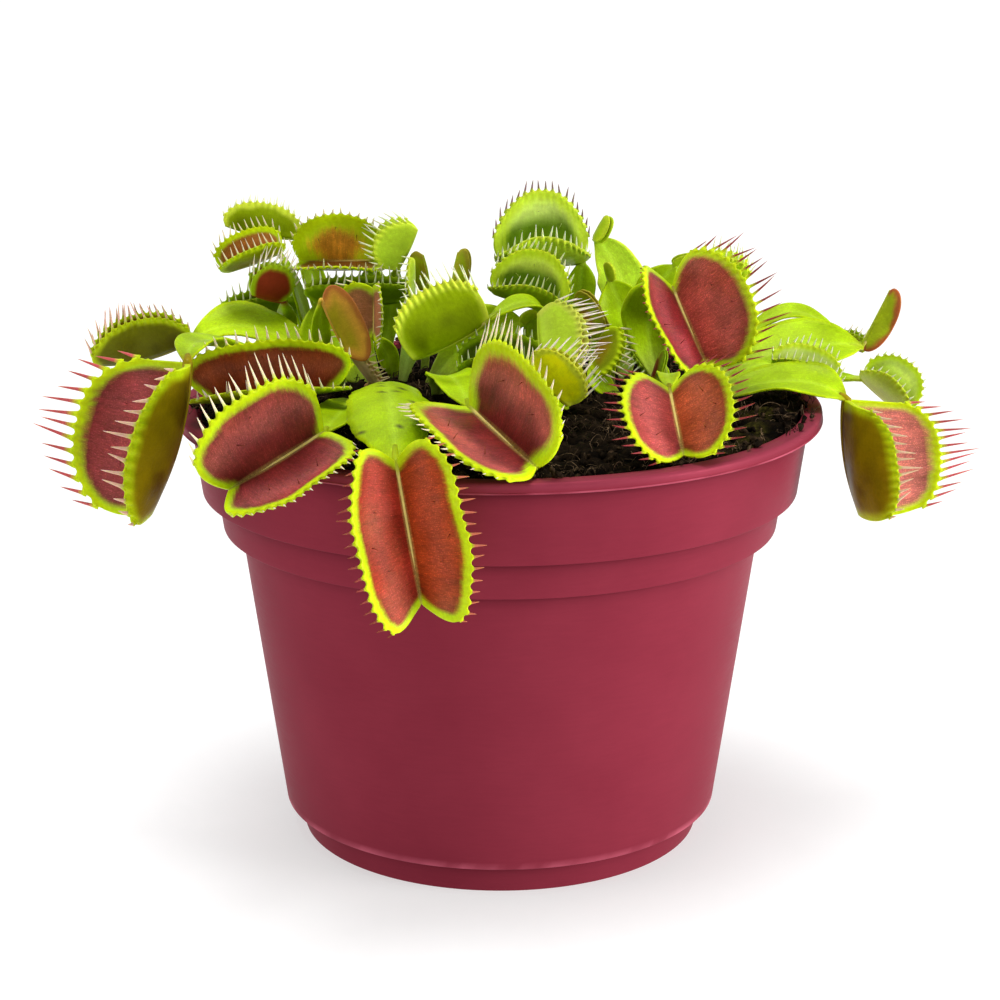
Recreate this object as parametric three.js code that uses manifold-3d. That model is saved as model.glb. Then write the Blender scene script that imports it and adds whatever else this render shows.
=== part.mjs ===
// A venus flytrap in a round plastic nursery pot: the pot, its fill of peat and one mesh for each
// leaf. A leaf is one piece that grew as one: a flat stalk that rises from the peat and arches over,
// and a two-lobed trap at its end. Millimetres, +Z up. The origin is the centre of the pot's foot,
// on the surface the pot stands on, and -Y is the front.

import * as THREE from 'three';
import { mergeVertices } from 'three/addons/utils/BufferGeometryUtils.js';
import Module from 'manifold-3d';

const wasm = await Module();
wasm.setup();

// ---- Driving dimensions -------------------------------------------------------------------------

const GAP = 0.3;                    // clearance between neighbouring solids

// The pot is moulded in straight bands, each wider than the one below it, under a flat rim.
const POT_WALL = 1.2;
const POT_BANDS = [
  { bottom: 0, top: 5.6, lowRadius: 38.0, highRadius: 38.8 },       // foot
  { bottom: 5.6, top: 59.9, lowRadius: 41.4, highRadius: 48.9 },    // tapered body
  { bottom: 59.9, top: 66.9, lowRadius: 52.1, highRadius: 53.1 },   // lower band
  { bottom: 66.9, top: 80.4, lowRadius: 55.8, highRadius: 57.6 },   // upper band
];
const RIM_RADIUS = 60;
const RIM_FILLET = 1;
const RIM_THICKNESS = 2;
const POT_SIDES = 40;

const DRAIN_HOLES = 6;
const DRAIN_RADIUS = 3.5;
const DRAIN_CIRCLE_RADIUS = 26;
const DRAIN_SIDES = 12;

// The peat is heaped a little towards the middle.
const SOIL_TOP = 82.6;
const SOIL_RADIUS = 55.6;           // the peat's edge, a gap inside the pot's wall
const SOIL_DROP = 1.4;              // how much lower it is at its edge
const SOIL_HEAP_POWER = 3;          // above 1, most of that drop is near the edge
const SOIL_RINGS = 4;
const ROOT_DEPTH = 1;               // how far below the peat's surface a leaf's centre line starts

// Leaves.
const LEAF_THICKNESS = 0.9;
const HINGE_RADIUS = 1.2;           // the knuckle between stalk and trap
const MIDRIB_RADIUS = 0.8;
const FINE_MIDRIB_RADIUS = 0.6;
const SMALL_TRAP_WIDTH = 9;         // traps up to this width are divided more coarsely
const NARROW_STALK = 6;             // stalks up to this width are flat across
const TIP_OVERHANG = 0.17;          // how far a lobe reaches past its midrib, as a share of its length
const LOBE_START = 0.42;            // a lobe's width at its two ends, as a share of its full width
const LOBE_ROUNDNESS = 2.4;
const LOBE_FULLNESS = 1 / 1.8;
const END_ROUNDNESS = 1.8;          // how round a lobe's two ends are; 1 is straight
const STALK_MIN_WIDTH = 1.4;
const STALK_FOLD = 0.25;            // how much a stalk's edges turn up, as a share of its half width

// A stalk's width along its length, as shares of its blade.
const STALK_FOOT = 0.2;
const STALK_NARROWEST = 0.14;
const STALK_WIDEST = 0.95;
const STALK_WIDEST_PLACE = 1.7;     // above 1, the widest place moves towards the trap
const STALK_FULLNESS = 0.8;

// How finely a leaf's pieces are divided.
const LOBE_COLUMNS = 5;
const LOBE_ROWS = 2;
const SMALL_LOBE_COLUMNS = 4;
const SMALL_LOBE_ROWS = 1;
const FINE_MIDRIB_WIDTH = 4;        // traps up to this width have the fine midrib
const MIDRIB_STEPS = 3;

// Ways that a stalk's broad side can face.
const UPWARDS = [0, -0.3, 1];
const FORWARDS = [0, -0.8, 0.4];

const GREEN = 0x9cc61e;
const YELLOW_GREEN = 0xc3cf3a;
const DARK_GREEN = 0x4c6a1c;
const OLIVE = 0x8a8c2e;
const MAROON = 0x7c2f2a;
const DRIED = 0xb9a071;
const POT_COLOR = 0x82303e;
const SOIL_COLOR = 0x1d1713;

// Each leaf: root is where its stalk leaves the peat, over is the point that pulls the stalk into an
// arch, hinge and tip are the two ends of the trap's midrib, and opens points out of the trap.
// width is how wide one lobe is across its face, gape how far each lobe leans away from the middle,
// curl how far it cups, bend how far the midrib bows, all three in degrees. blade is how wide the
// stalk is and faces is the way its broad side looks. distal and proximal set how far the lobes
// reach past the tip and past the hinge.
const LEFT_ROSETTE = [
  { name: 'leaf_far_left', color: GREEN, root: [-31, 16], over: [-46, 20, 98],
    hinge: [-60, 19, 90], tip: [-78, 15, 86], opens: [-0.2, -0.35, 1],
    width: 9, gape: 18, curl: 20, bend: 35, blade: 14, faces: UPWARDS,
    start: 0.2, distal: 0.05 },
  { name: 'leaf_left_outer', color: MAROON, root: [-32, 12], over: [-58, -5, 101],
    hinge: [-55, -25, 95], tip: [-62, -30, 69], opens: [-0.8, -0.6, 0],
    width: 18, gape: 55, curl: 42, bend: 30, blade: 7, faces: UPWARDS,
    distal: 0.12, proximal: 0 },
  { name: 'leaf_front_left', color: MAROON, root: [-28, 6], over: [-27, -18, 86],
    hinge: [-30, -43.5, 86.8], tip: [-45, -53, 79.4], opens: [0.05, -0.85, 0.5],
    width: 15, gape: 52, curl: 25, bend: 15, blade: 9, faces: UPWARDS,
    distal: 0.26, proximal: 0.1 },
  { name: 'leaf_left_brown', color: MAROON, root: [-31, 9], over: [-28.5, -1.5, 94],
    hinge: [-30, -14, 88], tip: [-53, -14, 86], opens: [0, -0.7, 0.7],
    width: 11, gape: 45, curl: 35, bend: 10, blade: 5, faces: UPWARDS },
  { name: 'leaf_back_left_top', color: GREEN, root: [-34, 36], over: [-36, 32, 98],
    hinge: [-40, 34, 107.5], tip: [-54, 31, 110.5], opens: [0.1, 0.3, 0.9],
    width: 6, gape: 20, curl: 15, bend: 20, blade: 5, faces: UPWARDS,
    start: 0.2, distal: 0.05 },
  { name: 'leaf_back_left_olive', color: OLIVE, root: [-36.5, 30.5], over: [-38.5, 28.5, 96],
    hinge: [-43, 26, 106], tip: [-53, 24, 102.5], opens: [-0.3, -0.6, 0.7],
    width: 7, gape: 35, curl: 25, bend: 15, blade: 4, faces: UPWARDS },
  { name: 'leaf_back_left_maroon', color: MAROON, root: [-41, 30], over: [-42, 30, 90.5],
    hinge: [-42, 22, 97], tip: [-48, 19, 99], opens: [-0.3, -0.2, 0.9],
    width: 7, gape: 22, curl: 20, bend: 10, blade: 4, faces: UPWARDS },
  { name: 'leaf_back_left_wide', color: OLIVE, root: [-29, 31], over: [-27, 33, 92],
    hinge: [-24.5, 30, 103.5], tip: [-39, 29.5, 103.5], opens: [0, -0.85, 0.5],
    width: 12, gape: 42, curl: 30, bend: 5, blade: 6, faces: FORWARDS,
    start: 0.3, distal: 0.12 },
  { name: 'leaf_back_left_dark', color: DARK_GREEN, root: [-23, 15], over: [-31, 16.4, 88],
    hinge: [-35.5, 21, 97], tip: [-19, 22, 97], opens: [0, -0.35, 0.9],
    width: 5.5, gape: 25, curl: 20, bend: 15, blade: 14, faces: FORWARDS },
  { name: 'leaf_back_left_pair', color: GREEN, root: [-23, 30], over: [-22, 30, 94],
    hinge: [-20, 24, 103], tip: [-16, 23, 111], opens: [-0.7, -0.1, 0.6],
    width: 7, gape: 28, curl: 20, bend: 10, blade: 5, faces: FORWARDS,
    start: 0.3, distal: 0.08 },
  { name: 'leaf_left_small', color: GREEN, root: [-21, 18], over: [-20, 17, 86],
    hinge: [-24, 13, 92], tip: [-24, 14, 101], opens: [-0.5, -0.8, 0.1],
    width: 8, gape: 50, curl: 15, bend: 10, blade: 4, faces: FORWARDS },
  { name: 'leaf_left_edge_on', color: GREEN, root: [-18, 21], over: [-18, 19, 90],
    hinge: [-16.5, 16, 99], tip: [-16.5, 16, 106], opens: [-0.3, -0.9, 0],
    width: 4, gape: 14, curl: 20, bend: 10, blade: 3, faces: FORWARDS },
  { name: 'leaf_left_bud_olive', color: OLIVE, root: [-15, 25], over: [-14, 24, 92],
    hinge: [-14, 23, 100], tip: [-15, 23, 106], opens: [-0.8, 0.2, 0.5],
    width: 3, gape: 12, curl: 15, bend: 10, blade: 3, faces: FORWARDS },
  { name: 'leaf_left_folded', color: OLIVE, root: [-29, 13], over: [-36, 6, 92],
    hinge: [-33, 1.5, 101.3], tip: [-28, 0.5, 90.5], opens: [0.9, 0.2, 0.3],
    width: 5.5, gape: 20, curl: 25, bend: 10, blade: 4, faces: [0.6, -0.8, 0] },
  { name: 'leaf_left_dried', color: DRIED, root: [-25, 10], over: [-24, 9, 82],
    hinge: [-24.5, 8, 84], tip: [-30, 7, 92], opens: [0.5, -0.6, 0.5],
    width: 3, gape: 12, curl: 10, bend: 5, blade: 3, faces: UPWARDS },
  { name: 'leaf_front_hanging', color: MAROON, root: [-23, 7], over: [-19.4, -24, 97],
    hinge: [-17, -60, 86], tip: [-13, -63, 63], opens: [0.12, -1, 0.1],
    width: 12, gape: 54, curl: 15, bend: 10, blade: 15, faces: UPWARDS,
    start: 0.5, fold: -0.25 },
  { name: 'leaf_back_left_low', color: OLIVE, root: [-36, 35], over: [-38, 35, 88],
    hinge: [-41, 34, 93], tip: [-53, 31, 92], opens: [0, -0.3, 0.9],
    width: 5, gape: 30, curl: 20, bend: 10, blade: 5, faces: UPWARDS },
];
const MIDDLE_ROSETTE = [
  { name: 'leaf_middle_bud_olive', color: OLIVE, root: [-19, 13], over: [-16.6, 9, 96],
    hinge: [-9, 20, 100], tip: [-8, 20, 107], opens: [0.5, -0.2, 0.5],
    width: 3, gape: 12, curl: 15, bend: 10, blade: 6, faces: FORWARDS },
  { name: 'leaf_middle_strap', color: GREEN, root: [-14, 12], over: [-7, 10, 94],
    hinge: [4.5, 8.5, 95.5], tip: [7, 8.5, 97], opens: [0, -0.4, 0.9],
    width: 2, gape: 12, curl: 15, bend: 10, blade: 10, faces: FORWARDS },
  { name: 'leaf_middle_closed', color: GREEN, root: [10, 8], over: [12, 2, 108],
    hinge: [-2, -6, 99], tip: [-16, -8, 92], opens: [-0.4, -0.1, 0.9],
    width: 11, gape: 14, curl: 22, bend: 20, blade: 6, faces: UPWARDS,
    start: 0.5, distal: 0.1 },
  { name: 'leaf_middle_front', color: MAROON, root: [-12, 4], over: [-10, -14, 95],
    hinge: [-5, -39, 90], tip: [6, -56, 84], opens: [-0.2, -0.72, 0.62],
    width: 16, gape: 53, curl: 30, bend: 10, blade: 9, faces: UPWARDS,
    distal: 0.22, proximal: 0.15 },
  { name: 'leaf_middle_edge_on', color: GREEN, root: [8, 0], over: [9, -8, 86],
    hinge: [8, -14, 92], tip: [7, -10, 101], opens: [0.9, -0.3, 0.1],
    width: 8.5, gape: 25, curl: 25, bend: 10, blade: 4, faces: FORWARDS },
  { name: 'leaf_middle_yellow', color: YELLOW_GREEN, root: [14, -1], over: [12, -14, 84],
    hinge: [5, -22, 93], tip: [12, -24, 87], opens: [0.75, -0.2, 0.6],
    width: 7, gape: 20, curl: 25, bend: 10, blade: 4, faces: FORWARDS },
  { name: 'leaf_back_middle_top', color: GREEN, root: [12, 20], over: [16, 24, 96],
    hinge: [16, 28, 104], tip: [0, 27, 104], opens: [0, -0.6, 0.8],
    width: 15, gape: 40, curl: 30, bend: 20, blade: 6, faces: FORWARDS,
    start: 0.25, distal: 0.12 },
  { name: 'leaf_back_middle_round', color: GREEN, root: [12, 12], over: [8, 12.5, 92],
    hinge: [11, 15, 97], tip: [-1, 15, 100], opens: [0.2, -0.6, 0.75],
    width: 11, gape: 40, curl: 30, bend: 20, blade: 10, faces: FORWARDS, start: 0.25 },
  { name: 'leaf_middle_comb', color: DARK_GREEN, root: [6, 5], over: [7, 0, 84],
    hinge: [7, -4.5, 87.5], tip: [-6, -4.5, 88], opens: [0, -0.5, 0.8],
    width: 9, gape: 30, curl: 20, bend: 10, blade: 3, faces: UPWARDS },
  { name: 'leaf_back_right_broad', color: GREEN, root: [19, 17], over: [30, 26, 98],
    hinge: [18.5, 29, 108.5], tip: [20.5, 29, 112.5], opens: [0.6, -0.4, 0.5],
    width: 3, gape: 20, curl: 20, bend: 10, blade: 9, faces: FORWARDS },
];
const RIGHT_ROSETTE = [
  { name: 'leaf_right_large', color: MAROON, root: [32, 6], over: [24, 8, 98],
    hinge: [32, 3, 103], tip: [38, -4, 90], opens: [0.3, -0.9, 0.1],
    width: 14.5, gape: 50, curl: 20, bend: 10, blade: 10, faces: FORWARDS,
    distal: 0.2, proximal: 0.3 },
  { name: 'leaf_back_right_blade', color: GREEN, root: [24, 15], over: [25, 17, 95],
    hinge: [21, 18, 102], tip: [20, 18, 105], opens: [0.3, -0.4, 0.5],
    width: 2, gape: 14, curl: 15, bend: 10, blade: 9, faces: FORWARDS },
  { name: 'leaf_right_hidden', color: GREEN, root: [38, 13], over: [40, 13, 94],
    hinge: [38, 14, 103], tip: [46, 14, 102], opens: [0.2, -0.3, 0.9],
    width: 6, gape: 25, curl: 20, bend: 10, blade: 5, faces: FORWARDS },
  { name: 'leaf_right_heart', color: MAROON, root: [31, -3], over: [30, -16, 95],
    hinge: [29, -38, 93], tip: [31, -46, 83.5], opens: [0, -0.85, 0.5],
    width: 12, gape: 55, curl: 15, bend: 5, blade: 4, faces: UPWARDS },
  { name: 'leaf_right_olive', color: OLIVE, root: [24, 3], over: [19, 2, 84],
    hinge: [17, 5, 88], tip: [20, 6, 95], opens: [0.8, -0.4, 0.3],
    width: 5.5, gape: 15, curl: 20, bend: 10, blade: 4, faces: FORWARDS },
  { name: 'leaf_right_olive_rear', color: OLIVE, root: [22, 12], over: [20, 12, 86],
    hinge: [18, 12, 92], tip: [14, 13, 99], opens: [0.5, -0.5, 0.5],
    width: 5, gape: 15, curl: 20, bend: 10, blade: 4, faces: FORWARDS },
  { name: 'leaf_right_dark', color: DARK_GREEN, root: [29, 9], over: [31, 10, 84],
    hinge: [31, 12, 87], tip: [27, 13, 93], opens: [-0.8, -0.2, 0.5],
    width: 5, gape: 15, curl: 20, bend: 10, blade: 3, faces: FORWARDS },
  { name: 'leaf_back_right_pointed', color: GREEN, root: [29, 18], over: [26, 20, 98],
    hinge: [34, 22, 104], tip: [38, 22, 105], opens: [0, -0.3, 0.9],
    width: 2, gape: 15, curl: 10, bend: 10, blade: 8, faces: FORWARDS },
  { name: 'leaf_right_red_bud', color: MAROON, root: [27, 1], over: [28, 1, 83],
    hinge: [28.5, 2, 85.5], tip: [30, 2, 91], opens: [0.5, -0.3, 0.5],
    width: 1.8, gape: 12, curl: 10, bend: 5, blade: 2.5, faces: FORWARDS },
  { name: 'leaf_right_arching', color: MAROON, root: [41, 18], over: [54, 26, 103],
    hinge: [67, 23, 89], tip: [71, 22, 87], opens: [0.3, -0.3, 0.8],
    width: 3, gape: 20, curl: 10, bend: 10, blade: 5, faces: UPWARDS },
  { name: 'leaf_right_upright', color: OLIVE, root: [37, 9], over: [52, 13, 92],
    hinge: [70, 17, 89.2], tip: [75, 17, 100.2], opens: [0.8, -0.2, -0.3],
    width: 3.5, gape: 12, curl: 15, bend: -5, blade: 13, faces: [0, -0.5, 0.8],
    start: 0.2, distal: 0.05 },
  { name: 'leaf_right_outer', color: MAROON, root: [35, -3], over: [54, -4, 91],
    hinge: [64, -6, 84], tip: [67, -10, 63], opens: [0.85, -0.6, 0.1],
    width: 17, gape: 50, curl: 38, bend: 30, blade: 12, faces: UPWARDS,
    start: 0.6, distal: 0.14, proximal: 0 },
  { name: 'leaf_right_pale', color: GREEN, root: [39, 6], over: [54, 12, 85],
    hinge: [69, 7.8, 84.8], tip: [76, 5.8, 78.8], opens: [0.3, -0.6, 0.7],
    width: 9, gape: 35, curl: 30, bend: 10, blade: 4, faces: UPWARDS, start: 0.3 },
  { name: 'leaf_right_small_pale', color: GREEN, root: [38, 2], over: [48, 5, 90],
    hinge: [52, 5.9, 87.3], tip: [62.5, 5.9, 84.2], opens: [0, -0.5, 0.85],
    width: 6.5, gape: 32, curl: 20, bend: 20, blade: 4, faces: UPWARDS, start: 0.3 },
];

// ---- Geometry helpers ---------------------------------------------------------------------------

// The geometry as a closed mesh: shared corners merged and the slivers at a lathe's poles left out.
function closedGeometry(geometry) {
  const bare = geometry.clone();
  bare.deleteAttribute('normal');
  bare.deleteAttribute('uv');
  const merged = mergeVertices(bare);
  const corners = merged.index.array;
  const kept = [];
  for (let i = 0; i < corners.length; i += 3) {
    const [a, b, c] = corners.slice(i, i + 3);
    if (a !== b && b !== c && c !== a) kept.push(a, b, c);
  }
  merged.setIndex(kept);
  return merged;
}

function toSolid(geometry) {
  const closed = closedGeometry(geometry);
  return new wasm.Manifold(new wasm.Mesh({
    numProp: 3,
    vertProperties: new Float32Array(closed.attributes.position.array),
    triVerts: new Uint32Array(closed.index.array),
  }));
}

function toGeometry(solid) {
  const mesh = solid.getMesh();
  const geometry = new THREE.BufferGeometry();
  geometry.setAttribute('position', new THREE.BufferAttribute(mesh.vertProperties, 3));
  geometry.setIndex(new THREE.BufferAttribute(mesh.triVerts, 1));
  geometry.computeVertexNormals();
  return geometry;
}

// A profile of [radius, height] points turned about +Z.
function turned(profile) {
  const points = profile.map(([radius, height]) => new THREE.Vector2(radius, height));
  return new THREE.LatheGeometry(points, POT_SIDES).rotateX(Math.PI / 2);
}

// A sheet of the leaf's thickness laid along a surface given as a function of two numbers, 0 to 1.
function sheet(surface, columns, rows) {
  const step = 1e-3;
  const geometry = new THREE.BoxGeometry(1, 1, 1, columns, rows, 1);
  const position = geometry.attributes.position;
  for (let i = 0; i < position.count; i += 1) {
    const u = position.getX(i) + 0.5;
    const v = position.getY(i) + 0.5;
    const middle = surface(u, v);
    const alongU = surface(u + step, v).sub(surface(u - step, v));
    const alongV = surface(u, v + step).sub(surface(u, v - step));
    const normal = alongU.cross(alongV).normalize();
    middle.addScaledVector(normal, position.getZ(i) * LEAF_THICKNESS);
    position.setXYZ(i, middle.x, middle.y, middle.z);
  }
  return geometry;
}

function material(color, roughness) {
  return new THREE.MeshStandardMaterial({ color, roughness, metalness: 0 });
}

// ---- Pot ----------------------------------------------------------------------------------------

// The inside of the pot's wall, from the floor up, moved in from it by a clearance.
function innerProfile(clearance) {
  const inset = POT_WALL + clearance;
  return POT_BANDS.flatMap(({ bottom, top, lowRadius, highRadius }) => [
    [lowRadius - inset, bottom + inset],
    [highRadius - inset, top + inset],
  ]);
}

function buildPot() {
  const outside = POT_BANDS.flatMap(({ bottom, top, lowRadius, highRadius }) => [
    [lowRadius, bottom],
    [highRadius, top],
  ]);
  const rimBottom = POT_BANDS.at(-1).top;
  const rimTop = rimBottom + RIM_THICKNESS;
  const rim = [
    [RIM_RADIUS, rimBottom],
    [RIM_RADIUS, rimTop - RIM_FILLET],
    [RIM_RADIUS - RIM_FILLET, rimTop],
    [POT_BANDS.at(-1).highRadius - POT_WALL, rimTop],
  ];
  const inside = innerProfile(0).slice(0, -1).reverse();
  const shell = toSolid(turned([[0, 0], ...outside, ...rim, ...inside, [0, POT_WALL]]));

  let pot = shell;
  for (let i = 0; i < DRAIN_HOLES; i += 1) {
    const angle = ((i + 0.5) / DRAIN_HOLES) * 2 * Math.PI;
    const hole = new THREE.CylinderGeometry(DRAIN_RADIUS, DRAIN_RADIUS, 4 * POT_WALL, DRAIN_SIDES);
    hole.rotateX(Math.PI / 2);
    hole.translate(DRAIN_CIRCLE_RADIUS * Math.cos(angle), DRAIN_CIRCLE_RADIUS * Math.sin(angle), 0);
    pot = pot.subtract(toSolid(hole));
  }
  const mesh = new THREE.Mesh(toGeometry(pot), material(POT_COLOR, 0.4));
  mesh.name = 'pot';
  return mesh;
}

// ---- Peat ---------------------------------------------------------------------------------------

function soilHeight(radius) {
  return SOIL_TOP - SOIL_DROP * (radius / SOIL_RADIUS) ** SOIL_HEAP_POWER;
}

function soilGeometry() {
  const sides = innerProfile(GAP).slice(0, -1);
  const surface = [];
  for (let ring = SOIL_RINGS; ring >= 0; ring -= 1) {
    const radius = (SOIL_RADIUS * ring) / SOIL_RINGS;
    surface.push([radius, soilHeight(radius)]);
  }
  return turned([[0, POT_WALL + GAP], ...sides, ...surface]);
}

function buildSoil() {
  const mesh = new THREE.Mesh(toGeometry(toSolid(soilGeometry())), material(SOIL_COLOR, 1));
  mesh.name = 'potting_soil';
  return mesh;
}

// ---- Leaves -------------------------------------------------------------------------------------

// The trap's own frame: its midrib's direction, the way it opens and the way across.
function trapFrame(leaf) {
  const hinge = new THREE.Vector3(...leaf.hinge);
  const along = new THREE.Vector3(...leaf.tip).sub(hinge);
  const length = along.length();
  along.normalize();
  const out = new THREE.Vector3(...leaf.opens);
  out.addScaledVector(along, -out.dot(along)).normalize();
  const across = new THREE.Vector3().crossVectors(along, out);
  return { hinge, along, out, across, length };
}

// A point of the trap: u along the midrib, which is an arc, and v out along a lobe, which leans away
// from the middle by gape and then cups back over the trap by curl.
function trapPoint(leaf, frame, side, u, v) {
  const bow = THREE.MathUtils.degToRad(leaf.bend);
  const radius = frame.length / 2 / Math.sin(bow / 2);
  const angle = bow * (u / frame.length - 0.5);
  const rise = radius * (Math.cos(bow / 2) - Math.cos(angle));
  const point = frame.hinge.clone()
    .addScaledVector(frame.along, frame.length / 2 + radius * Math.sin(angle))
    .addScaledVector(frame.out, rise);
  const localOut = frame.out.clone().multiplyScalar(Math.cos(angle))
    .addScaledVector(frame.along, -Math.sin(angle));

  const lean = THREE.MathUtils.degToRad(leaf.gape);
  const cup = THREE.MathUtils.degToRad(leaf.curl) / leaf.width;
  const outwards = (Math.sin(lean) - Math.sin(lean - cup * v)) / cup;
  const sideways = (Math.cos(lean - cup * v) - Math.cos(lean)) / cup;
  return point.addScaledVector(localOut, outwards).addScaledVector(frame.across, side * sideways);
}

// A lobe is fixed along the midrib, flares past both its ends and has a rounded free margin.
function lobeSurface(leaf, frame, side) {
  const { start = LOBE_START, distal = TIP_OVERHANG, proximal = leaf.distal ?? TIP_OVERHANG } = leaf;
  return (s, t) => {
    const fromMiddle = 2 * s - 1;
    const flare = fromMiddle > 0 ? distal : proximal;
    const marginU = frame.length * (s + fromMiddle * flare);
    const round = Math.max(1 - Math.abs(fromMiddle) ** LOBE_ROUNDNESS, 0) ** LOBE_FULLNESS;
    const marginV = leaf.width * (start + (1 - start) * round);
    const ribU = frame.length * s;
    const spread = 1 - Math.max(1 - t, 0) ** END_ROUNDNESS;
    return trapPoint(leaf, frame, side, ribU + spread * (marginU - ribU), t * marginV);
  };
}

// The stalk is an arch from the peat to the hinge: narrow at its foot, widest near the trap and
// drawn in again at the hinge, with its edges turned up.
function stalkSurface(leaf) {
  const [rootX, rootY] = leaf.root;
  const rootZ = soilHeight(Math.hypot(rootX, rootY)) - ROOT_DEPTH;
  const arch = new THREE.QuadraticBezierCurve3(
    new THREE.Vector3(rootX, rootY, rootZ),
    new THREE.Vector3(...leaf.over),
    new THREE.Vector3(...leaf.hinge),
  );
  const { fold = STALK_FOLD } = leaf;
  return (along, over) => {
    const t = THREE.MathUtils.clamp(along, 0, 1);
    const direction = arch.getTangent(t);
    const face = new THREE.Vector3(...leaf.faces);
    face.addScaledVector(direction, -face.dot(direction)).normalize();
    const across = direction.clone().cross(face).negate();
    const bulge = Math.max(Math.sin(Math.PI * t ** STALK_WIDEST_PLACE), 0) ** STALK_FULLNESS;
    const share = Math.max(STALK_FOOT * (1 - t) + STALK_WIDEST * bulge, STALK_NARROWEST);
    const half = Math.max((leaf.blade / 2) * share, STALK_MIN_WIDTH / 2);
    const offset = 2 * over - 1;
    return arch.getPoint(t)
      .addScaledVector(direction, along - t)
      .addScaledVector(across, half * offset)
      .addScaledVector(face, fold * half * offset ** 2);
  };
}

class MidribCurve extends THREE.Curve {
  constructor(leaf, frame) {
    super();
    this.leaf = leaf;
    this.frame = frame;
  }

  getPoint(t, target = new THREE.Vector3()) {
    return target.copy(trapPoint(this.leaf, this.frame, 1, this.frame.length * t, 0));
  }
}

function buildLeaf(leaf) {
  const frame = trapFrame(leaf);
  const small = leaf.width <= SMALL_TRAP_WIDTH;
  const columns = small ? SMALL_LOBE_COLUMNS : LOBE_COLUMNS;
  const lobeRows = small ? SMALL_LOBE_ROWS : LOBE_ROWS;
  const stalkRows = leaf.blade <= NARROW_STALK ? 1 : 2;
  const ribRadius = leaf.width <= FINE_MIDRIB_WIDTH ? FINE_MIDRIB_RADIUS : MIDRIB_RADIUS;
  const ribSection = new THREE.Shape([[1, 0], [0, 1], [-1, 0], [0, -1]]
    .map(([x, y]) => new THREE.Vector2(x * ribRadius, y * ribRadius)));
  const midrib = new THREE.ExtrudeGeometry(ribSection, {
    steps: MIDRIB_STEPS,
    bevelEnabled: false,
    extrudePath: new MidribCurve(leaf, frame),
  });
  const knuckle = new THREE.OctahedronGeometry(HINGE_RADIUS).translate(...leaf.hinge);
  const pieces = [
    sheet(lobeSurface(leaf, frame, -1), columns, lobeRows),
    sheet(lobeSurface(leaf, frame, 1), columns, lobeRows),
    sheet(stalkSurface(leaf), columns, stalkRows),
    midrib,
    knuckle,
  ];
  const whole = pieces.map(toSolid).reduce((joined, piece) => joined.add(piece));
  const abovePeat = whole.subtract(toSolid(soilGeometry().translate(0, 0, GAP)));

  const root = new THREE.Vector3(...leaf.root, SOIL_TOP);
  const mesh = new THREE.Mesh(
    toGeometry(abovePeat).translate(-root.x, -root.y, -root.z),
    material(leaf.color, 0.45),
  );
  mesh.name = leaf.name;
  mesh.position.copy(root);
  return mesh;
}

// ---- The object ---------------------------------------------------------------------------------

const plant = new THREE.Group();
for (const rosette of [LEFT_ROSETTE, MIDDLE_ROSETTE, RIGHT_ROSETTE]) {
  const crown = new THREE.Group();
  crown.add(...rosette.map(buildLeaf));
  plant.add(crown);
}

const pottedFlytrap = new THREE.Group();
pottedFlytrap.add(buildPot(), buildSoil(), plant);

export default pottedFlytrap;
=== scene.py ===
"""A venus flytrap in a burgundy plastic nursery pot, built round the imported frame. Metres, +Z up."""

import math
from dataclasses import dataclass, field

import bmesh
import bpy
import numpy as np
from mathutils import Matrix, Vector


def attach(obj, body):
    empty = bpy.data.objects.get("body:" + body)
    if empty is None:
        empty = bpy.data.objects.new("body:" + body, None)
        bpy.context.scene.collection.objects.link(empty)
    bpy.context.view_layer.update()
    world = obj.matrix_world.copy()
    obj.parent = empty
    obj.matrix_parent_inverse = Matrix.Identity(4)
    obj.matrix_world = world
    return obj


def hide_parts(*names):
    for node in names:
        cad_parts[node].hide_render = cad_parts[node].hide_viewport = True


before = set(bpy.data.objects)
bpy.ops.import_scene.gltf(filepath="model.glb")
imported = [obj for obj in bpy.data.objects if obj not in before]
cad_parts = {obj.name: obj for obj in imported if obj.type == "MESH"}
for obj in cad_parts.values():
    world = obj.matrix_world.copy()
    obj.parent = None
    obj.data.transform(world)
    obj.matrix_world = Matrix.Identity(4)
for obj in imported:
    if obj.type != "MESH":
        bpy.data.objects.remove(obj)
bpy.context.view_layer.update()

MM = 0.001
TURN = 2 * math.pi
RIGHTWARDS = np.array((1.0, 0, 0))
STRAIGHT_UP = np.array((0, 0, 1.0))
rng = np.random.default_rng(12)

# ---- Camera, floor and light ----

CAMERA_PLACE = (0.0, -0.4463, 0.1865)
CAMERA_DOWN = math.radians(15.46)
CAMERA_LENS = 88.0  # in millimetres, as the sensor's width is
SENSOR_WIDTH = 36.0
CAMERA_RANGE = (0.01, 30.0)
FLOOR_SIZE = 12.0  # from its middle to its edge
LIGHT_AIM = (0, 0, 0.07)
AREA_LIGHTS = (  # name, place, width and height, watts
    ("key_right", (1.10, -0.38, 0.18), (0.5, 0.5), 15.5),
    ("fill_left", (-1.1, -0.3, 0.18), (0.3, 0.4), 3.0),
)
SUN_STRENGTH = 2.4
SUN_SPREAD = math.radians(30)
SUN_TILT = (math.radians(2), math.radians(-2), 0)
WORLD_STRENGTH = 0.36

# ---- Pot ----

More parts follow.
